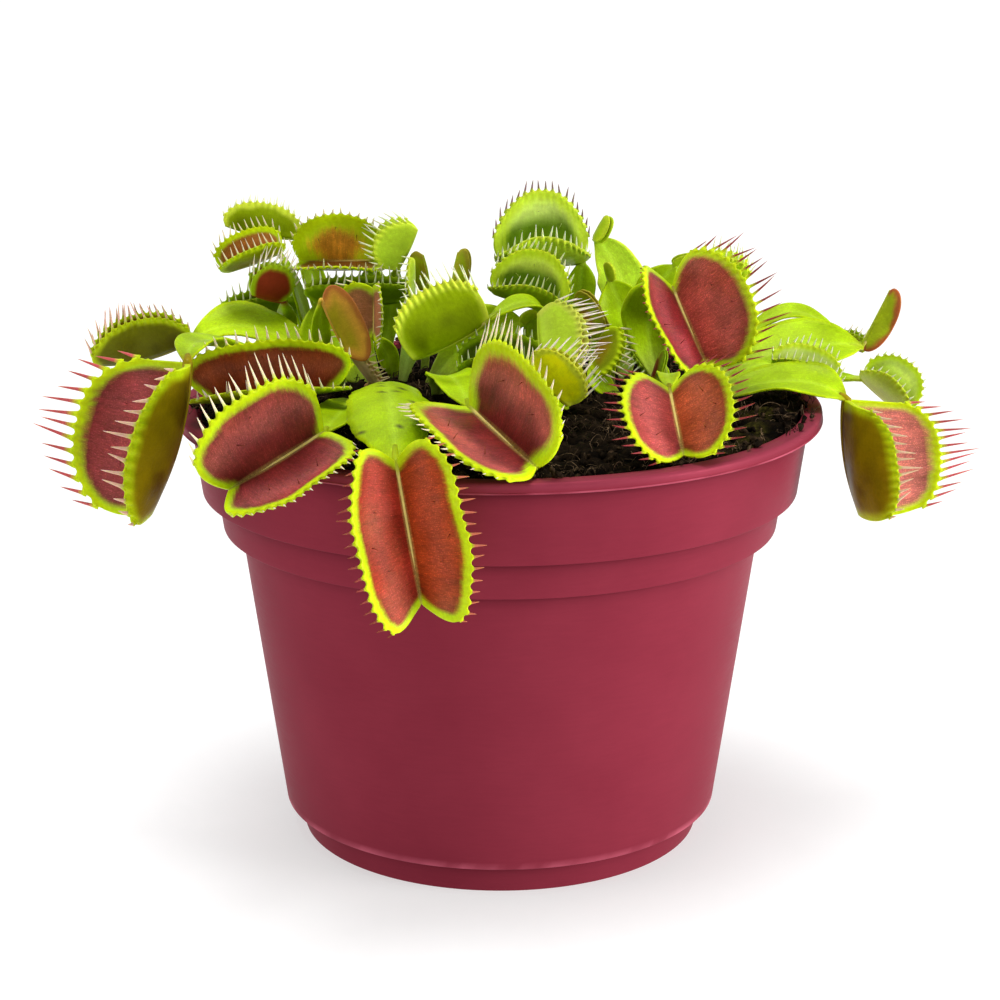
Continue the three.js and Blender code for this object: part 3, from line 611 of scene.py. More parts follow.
class Paint:
    """A material and its nodes. add gives the new node's outputs, and the methods below it give
    the one output that is used."""

    def __init__(self, name):
        self.material = bpy.data.materials.new(name)
        self.material.use_nodes = True
        self.tree = self.material.node_tree

    def fill(self, node, inputs):
        """Gives a node's inputs their values, or wires them to other nodes' outputs."""
        for key, value in inputs.items():
            if isinstance(value, bpy.types.NodeSocket):
                self.tree.links.new(value, node.inputs[key])
            else:
                node.inputs[key].default_value = value

    def add(self, kind, inputs=None, **settings):
        node = self.tree.nodes.new("ShaderNode" + kind)
        for key, value in settings.items():
            setattr(node, key, value)
        self.fill(node, inputs or {})
        return node.outputs

    def place(self):
        return self.add("TexCoord")["Object"]

    def tint(self):
        return self.add("Attribute", attribute_name="tint")["Color"]

    def noise(self, place, scale, detail=2.0, roughness=0.5):
        return self.add("TexNoise", {"Vector": place, "Scale": scale, "Detail": detail,
                                     "Roughness": roughness})["Fac"]

    def ramp(self, factor, *stops):
        """A ramp of greys or colours through (place, value) stops."""
        outputs = self.add("ValToRGB", {"Fac": factor})
        elements = outputs["Color"].node.color_ramp.elements
        while len(elements) < len(stops):
            elements.new(0.5)
        for element, (place, value) in zip(elements, stops):
            element.position = place
            element.color = (*np.broadcast_to(value, 3), 1)
        return outputs["Color"]

    def math(self, operation, first, second):
        return self.add("Math", {0: first, 1: second}, operation=operation)["Value"]

    def blend(self, factor, first, second, kind="MIX"):
        return self.add("Mix", {"Factor": factor, "A": first, "B": second},
                        data_type="RGBA", blend_type=kind)["Result"]

    def times(self, first, second):
        return self.blend(1.0, first, second, "MULTIPLY")

    def bump(self, height, strength, distance):
        return self.add("Bump", {"Height": height, "Strength": strength,
                                 "Distance": distance})["Normal"]

    def finish(self, inputs):
        self.fill(self.tree.nodes["Principled BSDF"], inputs)
        return self.material


def leaf_material():
    """Living leaf: the mesh's own tint, with radial fibres and glands where the grain says."""
    paint = Paint("leaf_flesh")
    place = paint.place()
    grain = paint.add("Attribute", attribute_name="grain")["Vector"]
    parts = paint.add("SeparateXYZ", {"Vector": grain})
    glandular = parts["Z"]

    # Fibres run out from the midrib, so they are stretched along the grain's second number.
    outwards = paint.math("MULTIPLY", parts["Y"], 0.16)
    stretched = paint.add("CombineXYZ", {"X": parts["X"], "Y": outwards, "Z": 0.0})["Vector"]
    fibres = paint.noise(stretched, 4.4, 5.0, 0.65)
    # The fibres and gland dots are the face's own texture; their brightest tones are also a painted glint
    # of its fine hairs.
    fibre_tone = paint.ramp(fibres, (0.3, 0.68), (0.5, 0.98), (0.64, 1.24), (0.76, 1.8))
    glands = paint.add("TexVoronoi", {"Vector": place, "Scale": 3400.0})["Distance"]
    gland_tone = paint.ramp(glands, (0.08, 1.7), (0.3, 0.97), (0.7, 0.86))
    texture = paint.blend(glandular, (1, 1, 1, 1), paint.times(fibre_tone, gland_tone))

    # Slow patches of lighter and darker green, and fine cells, on the whole leaf.
    patches = paint.noise(place, 130.0, 4.0)
    patch_tone = paint.ramp(patches, (0.3, 0.80), (0.7, 1.14))
    cells = paint.noise(place, 1500.0, 3.0)
    cell_tone = paint.ramp(cells, (0.3, 0.92), (0.7, 1.07))
    tone = paint.times(texture, paint.times(patch_tone, cell_tone))
    relief = paint.math("ADD", paint.math("MULTIPLY", fibres, glandular), cells)
    return paint.finish({
        "Base Color": paint.times(paint.tint(), tone),
        "Normal": paint.bump(relief, 0.35, 0.15 * MM),
        "Roughness": paint.ramp(patches, (0.3, 0.34), (0.7, 0.5)),
        "Subsurface Weight": 0.25,
        "Subsurface Radius": (0.6, 1.0, 0.2),
        "Subsurface Scale": 0.8 * MM,
        "IOR": 1.32,
        "Specular Tint": (1.0, 0.97, 0.3, 1),
    })


def pot_material():
    """Satin burgundy polypropylene, with a faint mottle and fine rubbed marks."""
    paint = Paint("burgundy_plastic")
    place = paint.place()
    base = paint.ramp(paint.noise(place, 60.0, 5.0), (0.3, PLASTIC[0]), (0.7, PLASTIC[1]))
    flow = paint.add("Mapping", {"Vector": place, "Scale": (1.0, 1.0, 9.0)})["Vector"]
    rubbed = paint.noise(flow, 220.0, 6.0, 0.7)
    marks = paint.ramp(rubbed, (0.35, 0.97), (0.65, 1.03))
    return paint.finish({
        "Base Color": paint.times(paint.times(base, marks), paint.tint()),
        "Normal": paint.bump(paint.noise(place, 2400.0, 3.0), 0.12, 0.08 * MM),
        "Roughness": paint.ramp(rubbed, (0.3, 0.36), (0.7, 0.46)),
        "IOR": 1.06,
        "Metallic": 0.12,
    })


def peat_material():
    """Damp dark peat: the mesh's tint broken up by fine noise, mostly dull."""
    paint = Paint("damp_peat")
    crumbs = paint.noise(paint.place(), 900.0, 6.0, 0.7)
    tone = paint.ramp(crumbs, (0.34, 0.15), (0.52, 0.9), (0.68, 2.4))
    return paint.finish({
        "Base Color": paint.times(paint.tint(), tone),
        "Normal": paint.bump(crumbs, 0.9, 0.4 * MM),
        "Roughness": paint.ramp(crumbs, (0.35, 0.55), (0.6, 0.95)),
        "IOR": 1.08,
    })


def floor_material():
    """Plain pale paper, which the light leaves almost white."""
    paint = Paint("studio_paper")
    return paint.finish({
        "Base Color": paint.ramp(paint.noise(paint.place(), 300.0), (0.3, 0.46), (0.7, 0.48)),
        "Roughness": 0.9,
        "Emission Color": (1, 1, 1, 1),
        "Emission Strength": 0.56,
    })


# ---- Pot ----


def rounded(outline, fillets, steps=4):
    """The outline of (radius, height) corners with each corner between its two ends rounded by its
    own fillet."""
    outline = [np.array(corner) for corner in outline]
    result = [outline[0]]
    for before, corner, after, fillet in zip(outline, outline[1:], outline[2:], fillets):
        back = unit(before - corner)
        on = unit(after - corner)
        room = min(np.linalg.norm(before - corner), np.linalg.norm(after - corner)) / 2.1
        reach = min(fillet, room)
        for share in np.linspace(0, 1, steps):
            result.append(corner + back * reach * (1 - share) ** 2 + on * reach * share ** 2)
    result.append(outline[-1])
    return result


def refine(outline, longest):
    """The same outline with long straight runs divided."""
    result = [outline[0]]
    for first, second in zip(outline, outline[1:]):
        pieces = max(1, math.ceil(np.linalg.norm(second - first) / longest))
        result += [first + (second - first) * (i + 1) / pieces for i in range(pieces)]
    return np.array(result)


def inner_outline(gap):
    """The outline that stays the gap inside the pot's outside, from the top down to the axis."""
    outline = []
    for bottom, top, low, high in POT_BANDS:
        outline += [(low - gap, bottom + gap), (high - gap, top + gap)]
    return outline[:-1][::-1] + [(0, gap)]


def pot_tints(outline):
    """The plastic's tone at each corner of the outline, all the way round: painted shade under each step,
    a painted highlight on top of the rim, and pale scuffs with a painted highlight along the rim's ridge
    and the step above the foot."""
    radius, height = outline.T
    bottoms, tops, low_radii, _ = zip(*POT_BANDS)
    outside = radius > np.interp(height, tops, low_radii) - 0.5 * POT_WALL
    tone = np.ones(len(outline))
    # Painted shade below each step, where the band above overhangs.
    for step in (*bottoms[1:], RIM_BOTTOM):
        below = step - height
        tone -= 0.75 * np.exp(-below / (1.1 * MM)) * (below > -0.05 * MM) * outside
    # Pale scuffs and a painted highlight along the rim's ridge and the foot's edge, stronger in places
    # round the pot.
    foot_edge = (abs(height - bottoms[1]) < 0.2 * MM) & (abs(radius - low_radii[1]) < 0.2 * MM)
    scuff_and_highlight = (radius > RIM_RADIUS + 0.5 * RIDGE_HEIGHT) | foot_edge
    circle = turned([(RIM_RADIUS, 0)], round_angles(POT_SIDES))[0]
    patchiness = np.clip(0.7 + 0.6 * wave_noise(circle, 14 * MM, 11), 0.1, 1.2)
    # A painted highlight on top of the rim.
    on_rim = (height > RIM_BOTTOM + 0.6 * MM) & (radius > POT_BANDS[-1][3])
    plain = np.where(on_rim[:, None], RIM_TOP_HIGHLIGHT, 1) * np.clip(tone, 0.25, 1)[:, None]
    return mix(plain[:, None], SCUFF_AND_HIGHLIGHT, scuff_and_highlight[:, None] * patchiness)


def cut(thing, cutter):
    """Takes the cutter out of the thing and removes the cutter."""
    boolean = thing.modifiers.new("cut", "BOOLEAN")
    boolean.object = cutter
    boolean.operation = "DIFFERENCE"
    boolean.solver = "EXACT"
    bpy.context.view_layer.objects.active = thing
    bpy.ops.object.modifier_apply(modifier=boolean.name)
    bpy.data.objects.remove(cutter)


def build_pot(material):
    """A turned shell with its drain holes cut through the foot."""
    outline = [(0, 0)]
    for bottom, top, low, high in POT_BANDS:
        outline += [(low, bottom), (high, top)]
    outline += [(RIM_RADIUS + out, RIM_BOTTOM + up) for out, up in RIDGE]
    outline += [(RIM_RADIUS, RIM_TOP), (POT_BANDS[-1][3] - POT_WALL, RIM_TOP)]
    inside = inner_outline(POT_WALL)
    fillets = (BAND_FILLETS * len(POT_BANDS) + (RIDGE_FILLET,) * len(RIDGE) + RIM_FILLETS
               + (INNER_FILLET,) * (len(inside) - 1))
    outline = refine(rounded(outline + inside, fillets), POT_RUN)
    skin = Skin()
    skin.add(turned(outline, round_angles(POT_SIDES)), ring_faces(len(outline), POT_SIDES),
             pot_tints(outline))
    pot = skin.to_object("pot_shell", material)

    holes = Skin()
    for angle in round_angles(DRAIN_HOLES, 0.5):
        middle = DRAIN_CIRCLE_RADIUS * np.array((math.cos(angle), math.sin(angle), 0))
        path = middle + 2 * POT_WALL * np.array(((0, 0, -1), (0, 0, 1)))
        holes.tube(path, np.full(2, DRAIN_RADIUS), RIGHTWARDS, np.zeros(3), DRAIN_SIDES)
    cut(pot, holes.to_object("drain_cutter", material))
    stand_for(pot, "pot")


# ---- Peat ----


def soil_height(x, y):
    return SOIL_TOP - SOIL_DROP * (np.hypot(x, y) / SOIL_RADIUS) ** 3


def rightness(angle):
    """1 in the directions to the right, where the peat spills most, and 0 elsewhere."""
    return smooth_step(0.8, 0.95, np.cos(angle))


def overhang(angle):
    """How far loose peat lies past the peat's own edge."""
    return CREEP + (SPILL - CREEP) * rightness(angle)


def heap(x, y):
    """How much higher the peat is at the right-hand edge, where it is heaped against the rim."""
    return HEAP * (rightness(np.arctan2(y, x)) * smooth_step(0.040, 0.054, np.hypot(x, y)))


def ground(x, y):
    """What loose crumbs and fibres lie on: the peat or, past its edge, the rim."""
    on_rim = smooth_step(SOIL_RADIUS - 1 * MM, SOIL_RADIUS, np.hypot(x, y))
    return (soil_height(x, y) + heap(x, y)) * (1 - on_rim) + (RIM_TOP + 0.3 * MM) * on_rim


def scattered(count, edge):
    """Random places on the peat, (x, y), out to an edge this far in from its own, and past that
    where it hangs over."""
    reach = SOIL_RADIUS - edge
    angle = rng.uniform(0, TURN, count)
    radius = reach * np.sqrt(rng.uniform(0, 1, count))
    radius = radius * (1 + overhang(angle) / reach)
    return np.column_stack([radius * np.cos(angle), radius * np.sin(angle)])


def peat_relief(x, y):
    """The height of the crumbly surface above the mean one."""
    place = np.stack([x, y, np.zeros_like(x)], axis=-1)
    relief = 0.6 * MM * wave_noise(place, 9 * MM, 5) + 0.35 * MM * wave_noise(place, 3 * MM, 6, 4)
    clods = scattered(CLODS, 1 * MM)
    for (clod_x, clod_y), size in zip(clods, rng.uniform(*CLOD_SIZES, CLODS) * MM):
        near = (abs(x - clod_x) < size) & (abs(y - clod_y) < size)
        distance = (x[near] - clod_x) ** 2 + (y[near] - clod_y) ** 2
        bump = 0.8 * np.sqrt(np.clip(size ** 2 - distance, 0, None)) - 0.2 * size
        relief[near] = np.maximum(relief[near], bump)
    return relief


def add_peat_body(skin):
    """The crumbly surface, and the plain side and bottom inside the pot."""
    share = (np.arange(SOIL_RINGS + 1) / SOIL_RINGS) ** 0.75
    radius = (SOIL_RADIUS * share)[:, None]
    angle = round_angles(SOIL_SIDES)
    x = radius * np.cos(angle)
    y = radius * np.sin(angle)
    relief = peat_relief(x, y) * smooth_step(0, 0.03, 1 - share)[:, None]
    surface = np.stack([x, y, soil_height(x, y) + relief + heap(x, y)], axis=-1)
    # Painted light and shade: the peat is lighter where its relief stands high and darker in the hollows,
    # with slow random variation on top.
    tone = np.clip(0.2 + relief / (2.4 * MM) + 0.2 * wave_noise(surface, 9 * MM, 8), 0, 1)
    tint = mix(PEAT * 0.2, PEAT_LIGHT * 0.6, tone ** 1.5)
    # Moss has started at the right-hand edge.
    moss = smooth_step(0.0, 0.6, wave_noise(surface, 9 * MM, 9)) * smooth_step(0.034, 0.046, x)
    tint = mix(tint, MOSS, moss)
    below = turned(inner_outline(SOIL_GAP), angle)
    grid = np.concatenate([surface, below])
    faces = ring_faces(len(grid), SOIL_SIDES)[:, (0, 3, 2, 1)]
    skin.add(grid, faces, np.concatenate([tint, np.broadcast_to(PEAT * 0.6, below.shape)]))


def add_crumbs(skin):
    """Small rough lumps that lie on the surface."""
    for place in scattered(CRUMBS, 0.6 * MM):
        size = rng.uniform(*CRUMB_SIZES) * MM
        middle = np.array((*place, ground(*place) + 0.35 * size))
        way = unit(rng.normal(size=3) * (1, 1, 0.5))
        along = np.linspace(-1, 1, CRUMB_STEPS)
        path = middle + way * along[:, None] * size
        path += 0.2 * size * wave_noise(path, size, int(rng.integers(1 << 30)), 2)[:, None]
        radii = size * rng.uniform(0.3, 0.65) * np.sqrt(np.clip(1.02 - along ** 2, 0, 1))
        radii *= rng.uniform(0.7, 1.3, CRUMB_STEPS)
        shade = mix(PEAT, PEAT_LIGHT, rng.uniform(0, 1) ** 2)
        skin.tube(path, radii, unit(rng.normal(size=3)), shade, sides=CRUMB_SIDES)


def add_fibres(skin):
    """Strands of moss and root that curl over each other."""
    steps = FIBRE_STEPS
    for place in scattered(FIBRES, 0.8 * MM):
        length = rng.uniform(*FIBRE_LENGTHS) * MM
        bends = rng.uniform(0, TURN) + np.cumsum(rng.normal(0, FIBRE_BEND, steps))
        way = np.column_stack([np.cos(bends), np.sin(bends)])
        path = place + np.cumsum(way * length / steps, axis=0)
        limit = SOIL_RADIUS + overhang(np.arctan2(*path[:, ::-1].T))
        path *= np.minimum(1, limit / np.linalg.norm(path, axis=1))[:, None]
        height = rng.uniform(*FIBRE_ARCHES) * MM
        arches = np.abs(np.sin(np.linspace(0, rng.uniform(2, 5), steps)))
        path = np.column_stack([path, ground(*path.T) + (FIBRE_LIFT + height * arches)])
        radii = rng.uniform(*FIBRE_RADII) * MM * np.linspace(1, 0.5, steps)
        shade = mix(PEAT, FIBRE, rng.uniform(0, 1) ** 2)
        skin.tube(path, radii, STRAIGHT_UP, shade, sides=FIBRE_SIDES)


def build_peat(material):
    skin = Skin()
    add_peat_body(skin)
    add_crumbs(skin)
    add_fibres(skin)
    stand_for(skin.to_object("peat_fill", material), "potting_soil")


# ---- Leaves ----


class Trap:
    """A trap's own frame: its hinge, the midrib's direction and length, the way it opens (out) and
    the way across."""

    def __init__(self, leaf):
        self.leaf = leaf
        self.hinge = np.array(leaf.hinge)
        midrib = np.array(leaf.tip) - self.hinge
        self.length = np.linalg.norm(midrib)
        self.along = midrib / self.length
        opens = np.array(leaf.opens, float)
        self.out = unit(opens - self.along * (opens @ self.along))
        self.across = np.cross(self.along, self.out)

    def point(self, side, u, v):
        """Places in the trap: u along the midrib, which is an arc, and v out along a lobe, which
        leans away from the middle by gape and cups back over the trap by curl."""
        bow = math.radians(self.leaf.bend)
        radius = self.length / 2 / math.sin(bow / 2)
        angle = bow * (u / self.length - 0.5)
        sine = np.sin(angle)[..., None]
        cosine = np.cos(angle)[..., None]
        middle = (self.hinge + self.along * (self.length / 2 + radius * sine)
                  + self.out * radius * (math.cos(bow / 2) - cosine))
        local_out = self.out * cosine - self.along * sine
        lean = math.radians(self.leaf.gape)
        cup = math.radians(self.leaf.curl) / self.leaf.width
        outwards = (np.sin(lean) - np.sin(lean - cup * v)) / cup
        sideways = (np.cos(lean - cup * v) - np.cos(lean)) / cup
        return middle + local_out * outwards[..., None] + self.across * side * sideways[..., None]

    def edge(self, s):
        """A lobe's free edge in (u, v), for s from 0 at the hinge to 1 at the tip."""
        leaf = self.leaf
        proximal = leaf.distal if leaf.proximal is None else leaf.proximal
        from_middle = 2 * s - 1
        flare = np.where(from_middle > 0, leaf.distal, proximal)
        fullness = np.clip(1 - np.abs(from_middle) ** LOBE_ROUNDNESS, 0, 1) ** LOBE_FULLNESS
        return (self.length * (s + from_middle * flare),
                leaf.width * (leaf.start + (1 - leaf.start) * fullness))


def edge_distance(places, edge):
    """How far each (u, v) place lies from a line of points."""
    start = edge[:-1]
    run = edge[1:] - start
    place = places.reshape(-1, 1, 2)
    share = np.clip(np.sum((place - start) * run, axis=-1) / np.sum(run * run, axis=-1), 0, 1)
    gap = np.linalg.norm(place - start - run * share[..., None], axis=-1)
    return gap.min(axis=1).reshape(places.shape[:-1])


class Lobe:
    """One lobe: a fleshy sheet with a scalloped edge, a tooth on each scallop and trigger hairs.
    Its grids have a column for each place along the free edge and a row for each t, which goes
    from 0 at the midrib to 1 at that edge."""

    def __init__(self, trap, look, side, seed):
        leaf = trap.leaf
        self.trap = trap
        self.leaf = leaf
        self.look = look
        self.side = side
        self.seed = seed
        self.source = np.random.default_rng(seed)
        self.own = leaf.first if side < 0 else leaf.second
        self.inside = look.inside if self.own.inside is None else self.own.inside
        self.size = min(1.0, max(0.55, leaf.width / FULL_WIDTH))
        self.space_teeth()
        self.shape_sheet()

    def space_teeth(self):
        """Spaces the teeth evenly along the free edge. The edge bulges at each of them."""
        fine = (1 - np.cos(np.linspace(0, math.pi, EDGE_SAMPLES))) / 2
        fine_u, fine_v = self.trap.edge(fine)
        arc = np.concatenate([[0], np.cumsum(np.hypot(np.diff(fine_u), np.diff(fine_v)))])
        self.arc = arc[-1]
        spacing = TOOTH_SPACING + TOOTH_SPREAD * self.arc
        self.teeth = self.leaf.teeth or max(FEWEST_TEETH, round(self.arc / spacing))
        self.spacing = self.arc / self.teeth
        self.travelled = np.linspace(0, self.arc, self.teeth * COLUMNS_PER_TOOTH + 1)
        self.s = np.interp(self.travelled, arc, fine)
        phase = self.travelled / self.spacing - 0.5
        self.bulge = ((0.5 + 0.5 * np.cos(TURN * phase)) ** 1.3)[:, None]

    def shape_sheet(self):
        """The middle of the sheet, with its normal towards the other lobe."""
        leaf = self.leaf
        trap = self.trap
        from_start = self.travelled / self.arc
        end_fade = smooth_step(0, 0.05, from_start) * smooth_step(0, 0.05, 1 - from_start)
        scallop = 0.20 * self.spacing * leaf.scallop * self.bulge[:, 0] * end_fade
        edge_u, edge_v = trap.edge(self.s)
        edge_way = unit(np.stack([-np.gradient(edge_v), np.gradient(edge_u)], axis=-1))
        push_u, push_v = (edge_way * scallop[:, None]).T[:, :, None]
        t = 1 - (1 - np.linspace(0, 1, LOBE_ROWS + 1)) ** 1.25
        rib_u = (trap.length * self.s)[:, None]
        spread = 1 - (1 - t) ** END_ROUNDNESS
        u = rib_u + spread * (edge_u[:, None] - rib_u) + push_u * t ** 8
        v = t * edge_v[:, None] + push_v * t ** 8
        points = trap.point(self.side, u, v)

        lean = math.radians(leaf.gape)
        inward = trap.out * math.sin(lean) - trap.across * self.side * math.cos(lean)
        normal = unit(np.cross(np.gradient(points, axis=0), np.gradient(points, axis=1)))
        normal *= np.sign(normal @ inward)[..., None]
        swell = 0.35 * MM * wave_noise(points, 14 * MM, self.seed + 1, 2) * smooth_step(0, 0.3, t)
        crimp = 0.12 * self.spacing * leaf.scallop * (self.bulge - 0.5) * smooth_step(0.84, 1.0, t)

        places = np.stack([u, v], axis=-1)
        free_edge = np.stack([edge_u, edge_v], axis=-1)
        border = np.concatenate([places[0, :-1], free_edge, places[-1, -2::-1]])
        self.from_border = edge_distance(places, border)
        self.t = t
        self.v = v
        self.points = points + normal * (swell - crimp)[..., None]
        self.normal = normal
        self.half = self.half_thickness()
        self.inner = self.points + normal * self.half[..., None]
        self.outward = unit(self.points[:, -1] - self.points[:, -2])

    def half_thickness(self):
        """The sheet thins towards its edge, swells there under each tooth and closes at its ends."""
        half = self.size * MM * (0.55 - 0.27 * self.t) * np.ones_like(self.v)
        half += 0.11 * MM * self.size * self.leaf.scallop * self.bulge * smooth_step(0.86, 0.97, self.t)
        from_ends = np.minimum(self.travelled, self.arc - self.travelled)
        return half * (0.35 + 0.65 * np.sqrt(np.clip(from_ends / (0.8 * MM), 0, 1)))[:, None]

    def inner_tint(self, patch, streak):
        """The glandular face's colours, and how far inside its pale margin each place is."""
        look = self.look
        band = look.band * self.own.band * self.size
        reach = self.from_border + band * (0.16 * patch + 0.12 * streak)
        red = smooth_step(0.3 * band, 2.1 * band, reach)
        broad = wave_noise(self.points, 11 * MM, self.seed + 5, 2)
        lit = self.inside
        # A deeper colour near the midrib; in the green looks it is painted shade in the trap's hollow.
        if look.deep is not None:
            out = self.t + 0.05 * broad
            lit = mix(look.deep, lit, smooth_step(look.hollow - 0.15, look.hollow + 0.15, out))
        # Painted sheen: the middle of a red lobe is paled.
        painted_sheen = PAINTED_SHEEN * look.grain * peak(self.t - 0.55 + 0.1 * broad, 0.25)
        fleck = look.grain * (0.14 * patch + 0.08 * streak)
        lit = lit * (1 + fleck + 0.16 * broad)[..., None] + painted_sheen[..., None]
        # Darker in a line just inside the pale margin, and painted shade in the crease along the midrib.
        shade = 0.22 * peak(reach - 2.1 * band, 0.9 * MM) + 0.3 * peak(self.v, 1.6 * MM)
        tint = mix(look.margin, lit * (1 - shade)[..., None], red)
        warm = 4 * red * (1 - red) * smooth_step(0.3, 0.6, look.grain)
        tint = mix(tint, tint * MARGIN_WARMTH, warm)
        return mix(tint, RIB, 0.8 * peak(self.v, 0.35 * MM)), red

    def outer_tint(self, patch):
        """The colours of the lobe's back."""
        look = self.look
        back = look.outside * (1 + 0.10 * patch)[..., None]
        if look.blush is not None:
            blotch = 0.35 + 0.65 * smooth_step(-0.3, 0.7, wave_noise(self.points, 12 * MM, self.seed + 3))
            inland = smooth_step(1 * MM, 3 * MM, self.from_border)
            back = mix(back, look.blush, blotch * smooth_step(0.9, 0.2, self.t) * inland)
        reach = self.from_border + 0.3 * MM * patch
        return mix(look.margin, back, smooth_step(0.2 * MM, 2.4 * MM * self.size, reach))

    def add_sheet(self, skin):
        """The sheet is a tube: the inner face, two rows round the free edge, and the back."""
        margin = self.look.margin
        ridge = 0.05 * MM * self.size * self.leaf.scallop * self.bulge * smooth_step(0.6, 0.98, self.t)
        outer = self.points - self.normal * (self.half + ridge)[..., None]
        edge_half = self.half[:, -1, None]
        rim = [self.points[:, -1] + self.normal[:, -1] * edge_half * math.cos(angle)
               + self.outward * edge_half * 1.2 * math.sin(angle)
               for angle in (math.pi / 3, 2 * math.pi / 3)]
        rings = np.concatenate([self.inner, np.stack(rim, axis=1), outer[:, ::-1]], axis=1)

        patch = wave_noise(self.points, 5 * MM, self.seed + 2)
        knots = np.linspace(0, self.arc, STREAKS)
        streak = np.interp(self.travelled, knots, self.source.normal(0, 1, STREAKS))[:, None]
        inner_tint, red = self.inner_tint(patch, streak)
        # Painted light and shade round the free edge: lighter on each scallop's bulge, darker in the
        # notch between two teeth.
        valley = (1 - self.bulge)[..., None]
        rim_tint = margin * 1.08 * (1 - valley) + margin * NOTCH_SHADE * valley
        tints = (inner_tint, np.repeat(rim_tint, 2, axis=1), self.outer_tint(patch)[:, ::-1])

        across = self.v / MM
        none = np.zeros((len(across), 2))
        along = np.broadcast_to((self.travelled / MM)[:, None], rings.shape[:2])
        along = along + LOBE_SHIFT * self.side
        outwards = np.concatenate([across, none, across[:, ::-1]], axis=1)
        back_grain = 0.22 * smooth_step(0, 0.3, self.t) * np.ones_like(across)
        strength = np.concatenate([self.look.grain * red, none, back_grain[:, ::-1]], axis=1)
        grain = np.stack([along, outwards, strength], axis=-1)
        skin.loft(rings, np.clip(np.concatenate(tints, axis=1), 0, 1), grain)

    def add_teeth(self, skin):
        """A tooth stands on the middle of each scallop, and those in the middle are the longest."""
        leaf = self.leaf
        tooth_tint = self.look.tooth if self.own.tooth is None else self.own.tooth
        tint = mix(self.look.margin, tooth_tint, smooth_step(0.02, 0.3, TOOTH_PLACES))
        full_length = self.look.tooth_length * leaf.tooth_scale * self.own.tooth_scale
        edge = self.points[:, -1]
        for tooth in range(self.teeth):
            column = tooth * COLUMNS_PER_TOOTH + COLUMNS_PER_TOOTH // 2
            normal = self.normal[column, -1]
            place = (tooth + 0.5) / self.teeth
            reach = full_length * ((0.45 + 0.55 * math.sin(math.pi * place) ** 0.6)
                                   * (1 + leaf.tooth_skew * (1 - 2 * place)))
            reach *= self.source.uniform(0.78, 1.15)
            tangent = unit(edge[column + 1] - edge[column - 1])
            way = unit(self.outward[column] + normal * (leaf.tooth_lean + self.source.normal(0, 0.09))
                       + tangent * self.source.normal(0, 0.10))
            bow = normal * reach * self.source.uniform(0.02, 0.16)
            if reach < SHORTEST_TOOTH:
                continue
            path = (edge[column] + way * reach * TOOTH_PLACES[:, None]
                    + bow * (np.clip(TOOTH_PLACES, 0, 1) ** 2)[:, None])
            wide = min(0.22 * self.spacing, 0.14 * reach + 0.1 * MM) * TOOTH_WIDTHS
            thick = min(self.half[column, -1], 0.2 * MM) * TOOTH_DEPTHS
            skin.tube(path, wide, tangent, tint, flat=thick)

    def add_hairs(self, skin):
        """Trigger hairs stand on the glandular face of a large open trap."""
        if self.leaf.gape <= HAIR_GAPE or self.leaf.width <= HAIR_WIDTH:
            return
        share = np.linspace(0, 1, HAIR_STEPS)
        for along, outwards in HAIR_PLACES:
            column = int(along * (len(self.points) - 1))
            row = int(outwards * LOBE_ROWS)
            way = unit(self.normal[column, row] + 0.3 * self.source.normal(size=3))
            path = self.inner[column, row] + way * share[:, None] * HAIR_LENGTH
            skin.tube(path, HAIR_RADIUS * (1 - 0.8 * share), self.trap.along, self.inside * 0.4, sides=4)


def stalk_curve(leaf, share):
    """Places on the stalk's arch, and its directions there, for shares of the way."""
    root = np.array((*leaf.root, soil_height(*leaf.root) - 1 * MM))
    over = np.array(leaf.over)
    hinge = np.array(leaf.hinge)
    share = share[:, None]
    place = (1 - share) ** 2 * root + 2 * share * (1 - share) * over + share ** 2 * hinge
    direction = 2 * (1 - share) * (over - root) + 2 * share * (hinge - over)
    return place, unit(direction)


def stalk_tint(green, look, share, offset, from_vein):
    """The stalk's green with paler edges, foot and vein, and the trap's own colour at its neck."""
    tint = mix(green, green * WING_TONE, smooth_step(0.86, 1.0, np.abs(offset)))
    tint = mix(tint, STALK_FOOT, 0.6 * smooth_step(0.42, 0.05, share)[:, None])
    tint = mix(tint, look.outside, 0.7 * smooth_step(0.90, 1.0, share)[:, None])
    return mix(tint, np.clip(tint * 1.18 + 0.02, 0, 1), peak(from_vein, 0.45 * MM))


